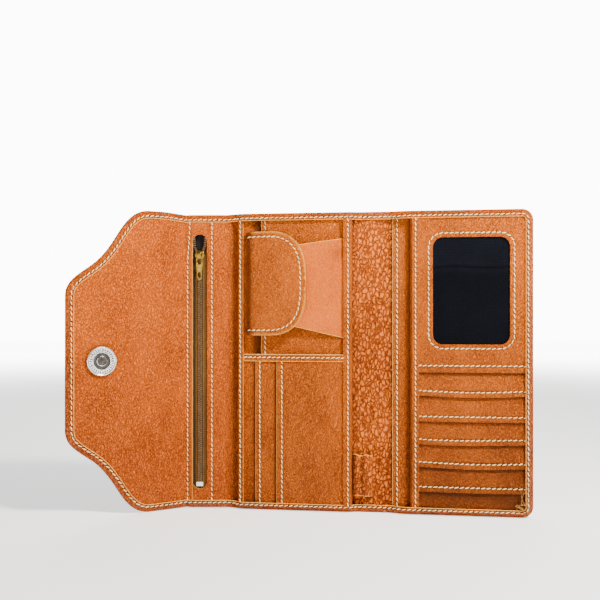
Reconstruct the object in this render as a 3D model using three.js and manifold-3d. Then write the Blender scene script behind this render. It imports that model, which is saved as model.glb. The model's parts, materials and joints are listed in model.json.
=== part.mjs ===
import * as THREE from 'three';
import { mergeVertices } from 'three/addons/utils/BufferGeometryUtils.js';
import Module from 'manifold-3d';

// A long wallet, opened out and standing on its lower long edge, with its inside facing -Y.
// Sizes are in millimetres. Each panel is drawn in its own frame: x runs along the panel from
// its fold, z is the height, and depth is counted from the back of the outer leather towards
// the inside of the wallet.

// Driving dimensions
const HEIGHT = 190.4; // long edge of the closed wallet
const SPINE_WIDTH = 27.6; // between the two spine folds, which sets the closed thickness
const PANEL_SPAN = 192; // centre panel, gutter and card panel, laid flat
const GUTTER_FOLD = 99.8; // middle of the soft fold between the centre and card panels
const FLAP_REACH = 77; // flap, from its fold to its tip
const SPINE_FOLD_X = -46.5;
const PANEL_TURN = THREE.MathUtils.degToRad(7.3); // centre and card panels, towards the viewer
const FLAP_TURN = THREE.MathUtils.degToRad(28); // flap, towards the viewer

const SKIN = 1.4; // outer leather
const PLY = 0.8; // pocket leathers
const GAP = 0.3; // between plies
const EDGE = 5; // width of the turned edge
const INNER = EDGE + GAP; // where the plies inside the turned edge begin
const FOLD_GAP = 0.3;
const CORNER = 7; // outer corners of the card panel

// Depths of the plies
const LINING = SKIN + GAP;
const LEAF = LINING + PLY + GAP;
const BASE = LEAF + PLY + GAP;
const SLOT = BASE + PLY + GAP;
const SECOND_SLOT = SLOT + PLY + GAP;
const STACK_TOP = 7.9; // raised inner lip of the turned edge
const EDGE_BACK = 5.2; // thinner outer rim of the turned edge
const LOW_EDGE = 4.2; // turned edge where it crosses a fold

// Snap
const SNAP_REACH = 55.4;
const SNAP_HEIGHT = 96.5;
const SNAP_RADIUS = 9.25;
const SNAP_RECESS = 5;
const SNAP_BOSS = 2.85;

// Zip
const ZIP_LINE = 18.3; // from the spine fold at the centre panel
const SLOT_HALF = 4.55;
const SLOT_LOW = 12.5;
const SLOT_HIGH = 177;
const SLIDER_BASE = 158;
const SLIDER_LENGTH = 8.6;

// Card slots
const SLOT_EDGES = [89.1, 74.4, 58.8, 44.5, 30, 15]; // free edges, facing down
const CARD_LEFT = 122.4;
const CARD_RIGHT = PANEL_SPAN - INNER;
const SHINGLE_TOP = 7.34; // front of a strip at its free edge
const SHINGLE_SLOPE = 0.0733;
const TUCK = 6;

const wasm = await Module();
wasm.setup();

const leather = { color: 0xb4622c, roughness: 0.55, metalness: 0 };
const liningLeather = { color: 0xa85a2a, roughness: 0.6, metalness: 0 };
const nickel = { color: 0xd8d6d0, roughness: 0.22, metalness: 1 };
const darkNickel = { color: 0x6d655c, roughness: 0.35, metalness: 1 };
const brass = { color: 0xa87a3a, roughness: 0.35, metalness: 1 };
const tapeFabric = { color: 0x6b4c20, roughness: 0.85, metalness: 0 };
const meshFabric = { color: 0x12141f, roughness: 0.9, metalness: 0 };
const board = { color: 0x8c8374, roughness: 0.9, metalness: 0 };

const wallet = new THREE.Group();
const centre = new THREE.Group();
centre.position.set(SPINE_FOLD_X, 0, 0);
centre.rotation.z = -PANEL_TURN;
const spine = new THREE.Group();
spine.position.set(SPINE_FOLD_X, 0, 0);
const flap = new THREE.Group();
flap.position.set(SPINE_FOLD_X - SPINE_WIDTH, 0, 0);
flap.rotation.z = FLAP_TURN;
wallet.add(centre, spine, flap);

function add(panel, name, geometry, finish) {
  const mesh = new THREE.Mesh(geometry, new THREE.MeshStandardMaterial(finish));
  mesh.name = name;
  panel.add(mesh);
}

// A sheet cut to an outline in x and z, lying between two depths.
function sheet(outline, near, far, steps = 10) {
  const geometry = new THREE.ExtrudeGeometry(outline, {
    depth: far - near, bevelEnabled: false, curveSegments: steps,
  });
  geometry.rotateX(Math.PI / 2);
  geometry.translate(0, SKIN - near, 0);
  return geometry;
}

// A rectangle of sheet, given by its sides.
function rectangle(left, right, low, high, near, far) {
  const outline = new THREE.Shape();
  outline.moveTo(left, low);
  outline.lineTo(right, low);
  outline.lineTo(right, high);
  outline.lineTo(left, high);
  outline.closePath();
  return sheet(outline, near, far);
}

// A section drawn in x and depth, run from one height to another.
function rail(section, low, high) {
  const outline = new THREE.Shape();
  section.forEach(([x, depth], i) => {
    if (i === 0) outline.moveTo(x, SKIN - depth);
    else outline.lineTo(x, SKIN - depth);
  });
  outline.closePath();
  const geometry = new THREE.ExtrudeGeometry(outline, { depth: high - low, bevelEnabled: false });
  geometry.translate(0, 0, low);
  return geometry;
}

// A section drawn in z and depth, run along x.
function batten(section, left, right) {
  const outline = new THREE.Shape();
  section.forEach(([z, depth], i) => {
    if (i === 0) outline.moveTo(z, SKIN - depth);
    else outline.lineTo(z, SKIN - depth);
  });
  outline.closePath();
  const geometry = new THREE.ExtrudeGeometry(outline, { depth: right - left, bevelEnabled: false });
  const turn = new THREE.Matrix4().set(0, 0, 1, left, 0, 1, 0, 0, 1, 0, 0, 0, 0, 0, 0, 1);
  geometry.applyMatrix4(turn);
  return flipped(geometry);
}

// The turn in batten mirrors the solid, so its faces are wound the other way round.
function flipped(geometry) {
  const position = geometry.getAttribute('position');
  const vertex = new THREE.Vector3();
  const other = new THREE.Vector3();
  for (let i = 0; i < position.count; i += 3) {
    vertex.fromBufferAttribute(position, i + 1);
    other.fromBufferAttribute(position, i + 2);
    position.setXYZ(i + 1, other.x, other.y, other.z);
    position.setXYZ(i + 2, vertex.x, vertex.y, vertex.z);
  }
  geometry.computeVertexNormals();
  return geometry;
}

// A turned piece whose axis runs through the panel at (x, z); its profile is radius and depth.
function turned(profile, x, z, steps = 40) {
  const points = profile.map(([radius, depth]) => new THREE.Vector2(radius, depth));
  const geometry = new THREE.LatheGeometry(points, steps);
  geometry.rotateX(Math.PI);
  geometry.translate(x, SKIN, z);
  return geometry;
}

function solid(geometry) {
  const bare = geometry.clone();
  bare.deleteAttribute('normal');
  bare.deleteAttribute('uv');
  const merged = mergeVertices(bare, 1e-4);
  return new wasm.Manifold(new wasm.Mesh({
    numProp: 3,
    vertProperties: new Float32Array(merged.getAttribute('position').array),
    triVerts: new Uint32Array(merged.getIndex().array),
  }));
}

function geometryOf(body) {
  const mesh = body.getMesh();
  const geometry = new THREE.BufferGeometry();
  geometry.setAttribute('position', new THREE.BufferAttribute(mesh.vertProperties, 3));
  geometry.setIndex(new THREE.BufferAttribute(mesh.triVerts, 1));
  const flat = geometry.toNonIndexed();
  flat.computeVertexNormals();
  return flat;
}

function cut(geometry, ...tools) {
  return geometryOf(tools.reduce((body, tool) => body.subtract(solid(tool)), solid(geometry)));
}

function disc(x, z, radius, near, far) {
  return turned([[0, near], [radius, near], [radius, far], [0, far]], x, z);
}

// ---- Flap ---------------------------------------------------------------------------------

// The flap's edge from its fold out to the tip, as seen above or below the middle: a full-height
// shoulder, a hollow sweep, and a rounded corner into the straight tip.
function flapOutline(inset, start) {
  const edge = new THREE.CurvePath();
  const point = (x, z) => new THREE.Vector2(x, z);
  edge.add(new THREE.QuadraticBezierCurve(point(0, 0.5), point(13, 0), point(25, 0)));
  edge.add(new THREE.CubicBezierCurve(point(25, 0), point(34, 0.2), point(39.5, 6.5), point(45.5, 16.5)));
  edge.add(new THREE.CubicBezierCurve(point(45.5, 16.5), point(50, 24), point(55, 31), point(61.5, 35.8)));
  edge.add(new THREE.CubicBezierCurve(point(61.5, 35.8), point(70, 42), point(FLAP_REACH, 46),
    point(FLAP_REACH, 55)));
  edge.add(new THREE.LineCurve(point(FLAP_REACH, 55), point(FLAP_REACH, HEIGHT / 2)));
  const lower = [];
  const steps = 12;
  edge.curves.forEach((curve, index) => {
    for (let i = 0; i < steps; i++) {
      const t = i / steps;
      const place = curve.getPoint(t);
      const along = curve.getTangent(t);
      place.x -= along.y * inset;
      place.y += along.x * inset;
      if (place.x > start && (index < 4 || i === 0)) lower.push(place);
    }
  });
  lower.unshift(new THREE.Vector2(start, lower[0].y));
  const upper = lower.map((place) => new THREE.Vector2(place.x, HEIGHT + 0.8 - place.y)).reverse();
  return lower.concat(upper).map((place) => new THREE.Vector2(-place.x, place.y));
}

function flapSheet(inset, start, near, far) {
  return sheet(new THREE.Shape(flapOutline(inset, start)), near, far);
}

const FLAP_BOARD = LINING;
const FLAP_LINING = LINING + 0.8;
const FLAP_FACE = FLAP_LINING + 1;
const snapX = -SNAP_REACH;

add(flap, 'flap_outer_leather', flapSheet(0, FOLD_GAP, 0, SKIN), leather);
add(flap, 'flap_stiffener', cut(flapSheet(INNER, 4.5, FLAP_BOARD, FLAP_BOARD + 0.5),
  disc(snapX, SNAP_HEIGHT, 8.3, 0, 4)), board);
add(flap, 'flap_lining', flapSheet(INNER, 3, FLAP_LINING, FLAP_FACE - GAP), liningLeather);
add(flap, 'flap_turned_edge', cut(flapSheet(0, 2.8, LINING, FLAP_FACE),
  flapSheet(EDGE, -1, LINING - 1, FLAP_FACE + 1)), leather);
add(flap, 'snap_washer', disc(snapX, SNAP_HEIGHT, 8, FLAP_BOARD, FLAP_BOARD + 0.5), nickel);
add(flap, 'snap_cap', turned([[SNAP_RECESS, FLAP_FACE], [SNAP_RADIUS, FLAP_FACE],
  [SNAP_RADIUS, 4.2], [SNAP_RADIUS - 0.5, 5], [SNAP_RADIUS - 1.1, 5.2], [SNAP_RADIUS - 1.6, 4.8],
  [SNAP_RECESS + 1.1, 4.8], [SNAP_RECESS + 0.5, 5.2], [SNAP_RECESS, 5], [SNAP_RECESS, FLAP_FACE]],
snapX, SNAP_HEIGHT), nickel);
add(flap, 'snap_boss', turned([[0, FLAP_FACE], [SNAP_RECESS - GAP, FLAP_FACE], [SNAP_RECESS - GAP, 3.8],
  [SNAP_BOSS, 3.8], [SNAP_BOSS, 4.6], [SNAP_BOSS - 0.4, 4.9], [0, 4.9]], snapX, SNAP_HEIGHT), darkNickel);

// ---- Zip spine ----------------------------------------------------------------------------

const TAPE = 3.1;
const TEETH = 3.8;
const FACING = 3.8;
const FACING_FRONT = 4.6;
const zipX = -ZIP_LINE;
const teethLow = SLOT_LOW + 5;
const teethHigh = 173.6;

// Turned edges over the folds are mitred, so that a fold can close to a right angle.
function lowEdge(near, far) {
  return [[near, LINING], [near + 2.5, LOW_EDGE], [far - 2.5, LOW_EDGE], [far, LINING]];
}

function roundSlot(x, half, low, high) {
  const slot = new THREE.Shape();
  slot.absarc(x, high - half, half, 0, Math.PI, false);
  slot.absarc(x, low + half, half, Math.PI, 2 * Math.PI, false);
  slot.closePath();
  return slot;
}

add(spine, 'spine_outer_leather',
  rectangle(-SPINE_WIDTH + FOLD_GAP, -FOLD_GAP, 0.4, HEIGHT - 0.2, 0, SKIN), leather);
add(spine, 'zip_pocket_lining', rectangle(-24.6, -3, INNER, HEIGHT - INNER, LINING, 2), tapeFabric);
add(spine, 'spine_edge_lower', rail(lowEdge(-SPINE_WIDTH + 0.8, -0.8), 0.4, EDGE), leather);
add(spine, 'spine_edge_upper', rail(lowEdge(-SPINE_WIDTH + 0.8, -0.8), HEIGHT - EDGE, HEIGHT - 0.2),
  leather);
const facing = rectangle(-SPINE_WIDTH + 3, -3.6, INNER, HEIGHT - INNER, FACING, FACING_FRONT);
add(spine, 'zip_facing',
  cut(facing, sheet(roundSlot(zipX, SLOT_HALF, SLOT_LOW, SLOT_HIGH), FACING - 1, 6)), leather);
['near', 'far'].forEach((side) => {
  const way = side === 'near' ? 1 : -1;
  const inner = zipX + way * 0.5;
  const outer = zipX + way * (side === 'near' ? 10 : 5.6);
  add(spine, `zip_tape_${side}`, rectangle(Math.min(inner, outer), Math.max(inner, outer),
    INNER + 2, HEIGHT - INNER - 2, TAPE, TAPE + 0.4), tapeFabric);
  const teethInner = zipX + way * 0.6;
  const teethOuter = zipX + way * 2.1;
  add(spine, `zip_teeth_${side}`, rectangle(Math.min(teethInner, teethOuter),
    Math.max(teethInner, teethOuter), teethLow, teethHigh, TEETH, TEETH + 0.7), tapeFabric);
  add(spine, `zip_top_stop_${side}`, rectangle(Math.min(teethInner, teethOuter),
    Math.max(teethInner, teethOuter), teethHigh + GAP, teethHigh + 1.8, TEETH, TEETH + 0.9), nickel);
});
add(spine, 'zip_bottom_stop', rectangle(zipX - 2.1, zipX + 2.1, SLOT_LOW + 2, teethLow - 0.4,
  TEETH, TEETH + 0.9), nickel);

// The slider holds both rows of teeth between its plates; a thin wedge joins the plates between
// the rows. A bridge on its front carries the pull.
const sliderSection = [[-3.4, 2.3], [3.4, 2.3], [3.4, 2.75], [0.25, 2.75], [0.25, 4.85], [2.7, 4.85],
  [2.7, 3.9], [3.4, 3.9], [3.4, 5.5], [-3.4, 5.5], [-3.4, 3.9], [-2.7, 3.9], [-2.7, 4.85],
  [-0.25, 4.85], [-0.25, 2.75], [-3.4, 2.75]];
const sliderBody = rail(sliderSection.map(([x, depth]) => [zipX + x, depth]), SLIDER_BASE,
  SLIDER_BASE + SLIDER_LENGTH);
const PIVOT_DEPTH = 6.3;
const PULL_PIVOT = SLIDER_BASE + 3.95;
const BRIDGE_REACH = 2.45;
const bridge = rail([[zipX - 1.1, 5.2], [zipX + 1.1, 5.2], [zipX + 1.1, PIVOT_DEPTH + 1.6],
  [zipX - 1.1, PIVOT_DEPTH + 1.6]], PULL_PIVOT - BRIDGE_REACH, PULL_PIVOT + BRIDGE_REACH);
const bridgeEye = new THREE.BoxGeometry(4, 1.9, 2.6);
bridgeEye.translate(zipX, SKIN - PIVOT_DEPTH, PULL_PIVOT);
add(spine, 'zip_slider',
  geometryOf(solid(sliderBody).add(solid(bridge)).subtract(solid(bridgeEye))), brass);

// The pull hangs from the bridge by the bar of its ring and tapers down to a rounded end.
const PULL_LENGTH = 14.5;
const RING_HALF = 2.6;
const TIP_HALF = 1.9;
const BAR_HALF = 0.5;
const RING_DROP = 5;
const SHOULDER_DROP = 5.6;
const pull = new THREE.Shape();
pull.moveTo(zipX + RING_HALF, PULL_PIVOT - 0.4);
pull.lineTo(zipX + RING_HALF - 0.9, PULL_PIVOT + BAR_HALF);
pull.lineTo(zipX - RING_HALF + 0.9, PULL_PIVOT + BAR_HALF);
pull.lineTo(zipX - RING_HALF, PULL_PIVOT - 0.4);
pull.lineTo(zipX - RING_HALF, PULL_PIVOT - SHOULDER_DROP);
pull.absarc(zipX, PULL_PIVOT - PULL_LENGTH + TIP_HALF, TIP_HALF, Math.PI, 2 * Math.PI, false);
pull.lineTo(zipX + RING_HALF, PULL_PIVOT - SHOULDER_DROP);
pull.closePath();
const ringEye = new THREE.Path();
ringEye.moveTo(zipX - 1.45, PULL_PIVOT - BAR_HALF);
ringEye.lineTo(zipX + 1.45, PULL_PIVOT - BAR_HALF);
ringEye.lineTo(zipX + 1.45, PULL_PIVOT - RING_DROP);
ringEye.lineTo(zipX - 1.45, PULL_PIVOT - RING_DROP);
ringEye.closePath();
const tabHole = new THREE.Path();
tabHole.absarc(zipX, PULL_PIVOT - PULL_LENGTH + TIP_HALF + 0.2, 0.8, 0, 2 * Math.PI, true);
pull.holes.push(ringEye, tabHole);
add(spine, 'zip_pull', sheet(pull, PIVOT_DEPTH - 0.5, PIVOT_DEPTH + 0.5, 12), brass);

// ---- Centre panel -------------------------------------------------------------------------

const LEFT_STACK = 6.6;
const RIGHT_STACK = 80.6;
const SLOTS_END = 74.9;
const DIVIDER_LOW = 95.3;
const DIVIDER_HIGH = 100;

// The turned edge rises from the spine fold onto the pocket stack and drops into the gutter.
const centreEdge = [[0.8, LINING], [3.4, LOW_EDGE], [LEFT_STACK, LOW_EDGE], [LEFT_STACK + 4, EDGE_BACK + 1.4],
  [RIGHT_STACK - 3, EDGE_BACK + 1.4], [RIGHT_STACK + 2, LOW_EDGE], [GUTTER_FOLD - 0.5, LOW_EDGE],
  [GUTTER_FOLD - 0.5, LINING]];

add(centre, 'centre_outer_leather',
  rectangle(FOLD_GAP, GUTTER_FOLD - 0.4, 0, HEIGHT, 0, SKIN), leather);
add(centre, 'centre_lining',
  rectangle(1.6, GUTTER_FOLD - 0.5, INNER, HEIGHT - INNER, LINING, LINING + PLY), liningLeather);
add(centre, 'centre_edge_lower', rail(centreEdge, 0, EDGE), leather);
add(centre, 'centre_edge_upper', rail(centreEdge, HEIGHT - EDGE, HEIGHT), leather);
add(centre, 'note_pocket_base',
  rectangle(LEFT_STACK + 4.5, RIGHT_STACK, INNER, HEIGHT - INNER, BASE, BASE + PLY), leather);
add(centre, 'centre_binding_left',
  rectangle(LEFT_STACK, LEFT_STACK + 4.2, INNER, HEIGHT - INNER, BASE, BASE + 2.6), leather);
add(centre, 'centre_binding_right',
  rectangle(SLOTS_END + GAP, RIGHT_STACK, INNER, HEIGHT - INNER, SLOT, SLOT + 2.7), leather);
add(centre, 'lower_slot_back',
  rectangle(18.6, SLOTS_END, INNER, DIVIDER_LOW - GAP, SLOT, SLOT + PLY), leather);
add(centre, 'lower_slot_front',
  rectangle(32.4, SLOTS_END, INNER, DIVIDER_LOW - GAP, SECOND_SLOT, SECOND_SLOT + PLY), leather);
add(centre, 'upper_slot_panel',
  rectangle(22.3, SLOTS_END, DIVIDER_HIGH + GAP, HEIGHT - INNER, SLOT, SLOT + PLY), leather);
add(centre, 'divider_strip',
  rectangle(LEFT_STACK + 4.5, SLOTS_END, DIVIDER_LOW, DIVIDER_HIGH, SLOT, SLOT + 2.2), leather);

// Coin pocket: the front stands off the upper slot panel at its mouth, under the coin flap, and
// slopes down to the binding; a thin gusset closes the wedge above and below.
const MOUTH = 36;
const MOUTH_DEPTH = 11.2;
const POCKET_END = SLOTS_END;
const END_DEPTH = SECOND_SLOT + 0.1;
const mouthLow = 119.5;
const mouthHigh = 168;
const endLow = 110.2;
const endHigh = 173.7;
const along = (x, start, end) => start + ((end - start) * (x - MOUTH)) / (POCKET_END - MOUTH);

const frontOutline = new THREE.Shape();
frontOutline.moveTo(MOUTH, mouthLow);
frontOutline.lineTo(POCKET_END, endLow);
frontOutline.lineTo(POCKET_END, endHigh);
frontOutline.lineTo(MOUTH, mouthHigh);
frontOutline.closePath();
const frontBlank = rail([[MOUTH, MOUTH_DEPTH], [POCKET_END, END_DEPTH], [POCKET_END, END_DEPTH + PLY],
  [MOUTH, MOUTH_DEPTH + PLY]], 100, HEIGHT - 10);
add(centre, 'coin_pocket_front',
  geometryOf(solid(frontBlank).intersect(solid(sheet(frontOutline, 0, 20)))), leather);

// Each gusset fills the wedge behind the front and follows one of its slanting sides.
const GUSSET_END = POCKET_END - 8;
['lower', 'upper'].forEach((side) => {
  const start = side === 'lower' ? mouthLow + 1.2 : mouthHigh - 2.1;
  const end = side === 'lower' ? endLow + 1.2 : endHigh - 2.1;
  const strip = new THREE.Shape();
  strip.moveTo(MOUTH + 1, along(MOUTH + 1, start, end));
  strip.lineTo(GUSSET_END, along(GUSSET_END, start, end));
  strip.lineTo(GUSSET_END, along(GUSSET_END, start, end) + 0.9);
  strip.lineTo(MOUTH + 1, along(MOUTH + 1, start, end) + 0.9);
  strip.closePath();
  const wedge = rail([[MOUTH, SECOND_SLOT], [GUSSET_END, SECOND_SLOT],
    [GUSSET_END, along(GUSSET_END, MOUTH_DEPTH, END_DEPTH) - GAP], [MOUTH, MOUTH_DEPTH - GAP]],
  100, HEIGHT - 10);
  add(centre, `coin_gusset_${side}`,
    geometryOf(solid(wedge).intersect(solid(sheet(strip, 0, 20)))), leather);
});

// Coin flap: a D-shaped tongue that rises from its rolled fold and lies over the pocket's mouth.
const COIN_FOLD = 15.6;
const COIN_TIP = 50.3;
const COIN_LOW = 112;
const COIN_HIGH = 177.8;
const COIN_ROUND = 15;

function coinFlapOutline(inset) {
  const radius = COIN_ROUND - inset;
  const outline = new THREE.Shape();
  outline.moveTo(COIN_FOLD + inset, COIN_LOW + inset);
  outline.lineTo(COIN_TIP - COIN_ROUND, COIN_LOW + inset);
  outline.absarc(COIN_TIP - COIN_ROUND, COIN_LOW + COIN_ROUND, radius, -Math.PI / 2, 0, false);
  outline.absarc(COIN_TIP - COIN_ROUND, COIN_HIGH - COIN_ROUND, radius, 0, Math.PI / 2, false);
  outline.lineTo(COIN_FOLD + inset, COIN_HIGH - inset);
  outline.closePath();
  return outline;
}

// The flap's rise from the fold to over the pocket mouth, as a smooth step.
function coinRise(x) {
  const t = THREE.MathUtils.clamp((x - COIN_FOLD) / (MOUTH - COIN_FOLD - 2), 0, 1);
  return t * t * (3 - 2 * t);
}

function coinFlapPly(inset, low, high, thickness) {
  const steps = 14;
  const under = [];
  for (let i = 0; i <= steps; i++) {
    const x = COIN_FOLD + ((COIN_TIP - COIN_FOLD) * i) / steps;
    under.push([x, low + (high - low) * coinRise(x)]);
  }
  const over = under.map(([x, depth]) => [x, depth + thickness]).reverse();
  const blank = rail(under.concat(over), 100, HEIGHT - 5);
  return geometryOf(solid(blank).intersect(solid(sheet(coinFlapOutline(inset), 0, 20, 16))));
}

add(centre, 'coin_flap_root',
  rectangle(LEFT_STACK + 4.6, COIN_FOLD - GAP, COIN_LOW, COIN_HIGH, SLOT, SLOT + PLY), leather);
add(centre, 'coin_flap_lining', coinFlapPly(1, 6.1, 12.4, 0.6), liningLeather);
add(centre, 'coin_flap_leather', coinFlapPly(0, 7, 13.3, 0.9), leather);

// Pen loop: a band of leather standing off the gutter lining, open above and below.
const PEN_LEFT = RIGHT_STACK + GAP;
const PEN_RIGHT = 93.8;
const PEN_FRONT = LEAF + 5.8;
const penLoop = [[PEN_LEFT, LEAF - 0.1], [PEN_LEFT + 0.8, LEAF - 0.1], [PEN_LEFT + 0.9, PEN_FRONT - 1.8],
  [PEN_LEFT + 1.9, PEN_FRONT - 0.8], [PEN_RIGHT - 2.4, PEN_FRONT - 0.8], [PEN_RIGHT - 1, PEN_FRONT - 2.2],
  [PEN_RIGHT - 0.8, LEAF - 0.1], [PEN_RIGHT, LEAF - 0.1], [PEN_RIGHT, PEN_FRONT - 1.8],
  [PEN_RIGHT - 1.8, PEN_FRONT], [PEN_LEFT + 1.4, PEN_FRONT], [PEN_LEFT, PEN_FRONT - 1.4]];
add(centre, 'pen_loop', rail(penLoop, 11, 36.8), leather);

// ---- Card panel ---------------------------------------------------------------------------

const LEAF_LEFT = 105.8;
const STACK_LEFT = 116.8;

function cardOutline(left, inset) {
  const radius = Math.max(CORNER - inset, 1);
  const right = PANEL_SPAN - inset;
  const outline = new THREE.Shape();
  outline.moveTo(left, inset);
  outline.lineTo(right - radius, inset);
  outline.absarc(right - radius, inset + radius, radius, -Math.PI / 2, 0, false);
  outline.absarc(right - radius, HEIGHT - inset - radius, radius, 0, Math.PI / 2, false);
  outline.lineTo(left, HEIGHT - inset);
  outline.closePath();
  return outline;
}

add(centre, 'card_outer_leather', sheet(cardOutline(GUTTER_FOLD + 0.4, 0), 0, SKIN), leather);
add(centre, 'card_lining', sheet(cardOutline(GUTTER_FOLD + 0.5, INNER), LINING, LINING + PLY),
  liningLeather);
add(centre, 'bill_pocket_leaf', sheet(cardOutline(LEAF_LEFT, INNER), LEAF, LEAF + PLY), leather);
add(centre, 'card_base', sheet(cardOutline(CARD_LEFT, INNER), BASE, BASE + PLY), leather);
add(centre, 'card_binding_left',
  rectangle(STACK_LEFT, CARD_LEFT - GAP, INNER, HEIGHT - INNER, BASE, SHINGLE_TOP + 0.3), leather);

// The turned edge runs round three sides of the card panel, thin over the gutter fold.
const cardEdgeBlank = rail([[GUTTER_FOLD + 0.5, LINING], [PANEL_SPAN, LINING], [PANEL_SPAN, EDGE_BACK],
  [PANEL_SPAN - 1.4, EDGE_BACK + 1.6], [PANEL_SPAN - EDGE, STACK_TOP], [STACK_LEFT, STACK_TOP],
  [STACK_LEFT - 5, LOW_EDGE], [GUTTER_FOLD + 0.5, LOW_EDGE]], 0, HEIGHT);
const cardFrame = solid(cardEdgeBlank)
  .intersect(solid(sheet(cardOutline(GUTTER_FOLD + 0.5, 0), 0, 20)))
  .subtract(solid(sheet(cardOutline(GUTTER_FOLD - 5, EDGE), 0, 20)));
const chamferLow = batten([[-1, EDGE_BACK - 0.6], [-1, 12], [EDGE, 12], [EDGE, STACK_TOP], [1.4, EDGE_BACK + 1.6],
  [0, EDGE_BACK]], GUTTER_FOLD - 5, PANEL_SPAN + 5);
const chamferHigh = batten([[HEIGHT + 1, EDGE_BACK - 0.6], [HEIGHT, EDGE_BACK], [HEIGHT - 1.4, EDGE_BACK + 1.6],
  [HEIGHT - EDGE, STACK_TOP], [HEIGHT - EDGE, 12], [HEIGHT + 1, 12]], GUTTER_FOLD - 5, PANEL_SPAN + 5);
add(centre, 'card_turned_edge',
  geometryOf(cardFrame.subtract(solid(chamferLow)).subtract(solid(chamferHigh))), leather);

// Card strips are shingled: each one's free edge faces down and lies over the next one's top.
function shingle(low, high, edge = low) {
  const front = (z) => SHINGLE_TOP - SHINGLE_SLOPE * (z - edge);
  return batten([[low, front(low)], [high, front(high)], [high, front(high) - PLY],
    [low, front(low) - PLY]], CARD_LEFT, CARD_RIGHT);
}

SLOT_EDGES.slice(1).forEach((edge, i) => {
  add(centre, `card_slot_${i + 1}`, shingle(edge, SLOT_EDGES[i] + TUCK), leather);
});
const insideEdge = solid(sheet(cardOutline(CARD_LEFT, INNER), 0, 20));
add(centre, 'card_slot_6',
  geometryOf(solid(shingle(INNER, SLOT_EDGES[5] + TUCK - 1, 0)).intersect(insideEdge)), leather);

// ID window: a leather panel with a rounded opening, over a pocket of fine black mesh.
const WINDOW = { left: 131, right: 177.6, low: 106.7, high: 173.1, radius: 6 };

function roundedBox(left, right, low, high, radius) {
  const outline = new THREE.Shape();
  outline.absarc(right - radius, low + radius, radius, -Math.PI / 2, 0, false);
  outline.absarc(right - radius, high - radius, radius, 0, Math.PI / 2, false);
  outline.absarc(left + radius, high - radius, radius, Math.PI / 2, Math.PI, false);
  outline.absarc(left + radius, low + radius, radius, Math.PI, 1.5 * Math.PI, false);
  outline.closePath();
  return outline;
}

const windowHole = sheet(roundedBox(WINDOW.left, WINDOW.right, WINDOW.low, WINDOW.high, WINDOW.radius),
  0, 20);
const windowBlank = rectangle(CARD_LEFT, CARD_RIGHT, SLOT_EDGES[0], HEIGHT - INNER,
  SHINGLE_TOP - PLY, SHINGLE_TOP);
add(centre, 'id_window_panel',
  geometryOf(solid(windowBlank).intersect(insideEdge).subtract(solid(windowHole))), leather);
add(centre, 'id_window_mesh', rectangle(WINDOW.left - 3.5, WINDOW.right + 3.5, WINDOW.low - 3.5,
  WINDOW.high + 3.5, 5.6, 6), meshFabric);

// Mating half of the snap, on the outside of the card panel, where the closed flap meets it.
const mateX = 2 * GUTTER_FOLD - SNAP_REACH;
add(centre, 'snap_mate', turned([[0, -1], [3.3, -1], [3.3, -2.6], [4.6, -2.6], [4.6, -1.2],
  [8.6, -1.2], [8.8, -GAP], [0, -GAP]], mateX, SNAP_HEIGHT), nickel);

// ---- The whole wallet stands centred over its base --------------------------------------------

wallet.updateMatrixWorld(true);
const box = new THREE.Box3().setFromObject(wallet);
const middle = box.getCenter(new THREE.Vector3());
wallet.position.set(-middle.x, -middle.y, 0);
wallet.updateMatrixWorld(true);

export default wallet;
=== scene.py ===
import json
import math

import bmesh
import bpy
from mathutils import Matrix, Vector, noise

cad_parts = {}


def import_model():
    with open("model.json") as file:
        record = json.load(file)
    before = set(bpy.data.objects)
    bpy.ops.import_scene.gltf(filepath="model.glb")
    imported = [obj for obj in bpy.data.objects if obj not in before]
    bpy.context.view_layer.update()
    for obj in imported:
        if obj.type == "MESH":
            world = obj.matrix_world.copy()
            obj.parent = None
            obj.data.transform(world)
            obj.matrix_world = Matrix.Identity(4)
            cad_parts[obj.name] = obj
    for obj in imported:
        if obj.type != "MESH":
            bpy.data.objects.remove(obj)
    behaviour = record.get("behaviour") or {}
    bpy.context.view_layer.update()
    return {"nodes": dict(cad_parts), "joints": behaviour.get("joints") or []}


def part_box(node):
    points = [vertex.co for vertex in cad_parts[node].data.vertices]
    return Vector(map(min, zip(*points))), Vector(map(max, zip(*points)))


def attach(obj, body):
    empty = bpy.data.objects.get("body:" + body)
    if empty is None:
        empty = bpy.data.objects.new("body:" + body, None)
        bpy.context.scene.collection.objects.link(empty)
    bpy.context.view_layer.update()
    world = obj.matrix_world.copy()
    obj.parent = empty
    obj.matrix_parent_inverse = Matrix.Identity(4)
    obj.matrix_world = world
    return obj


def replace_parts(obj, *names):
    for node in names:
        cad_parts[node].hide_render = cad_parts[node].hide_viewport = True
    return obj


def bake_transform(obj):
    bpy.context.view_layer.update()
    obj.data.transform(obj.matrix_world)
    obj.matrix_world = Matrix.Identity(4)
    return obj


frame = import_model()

joints = {joint["name"]: joint for joint in frame["joints"]}
MM = 0.001

# ---- The room ------------------------------------------------------------------------------
# The opened wallet stands on a pale floor in a bright, soft room, which is white far off. The
# viewer looks level along +Y from half a metre, a little above the middle of the wallet.
spine_axis = Vector(joints["spine_fold"]["pos_m"])
camera_data = bpy.data.cameras.new("camera")
camera_data.lens = 46.35
camera_data.sensor_width = 36
camera_data.shift_y = 0.0333
camera_data.clip_end = 20
camera = bpy.data.objects.new("camera", camera_data)
camera.location = (spine_axis.x + 0.0465, spine_axis.y - 0.5026, 0.1218)
camera.rotation_euler = (math.radians(90), 0, 0)
bpy.context.collection.objects.link(camera)
bpy.context.scene.camera = camera


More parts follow.
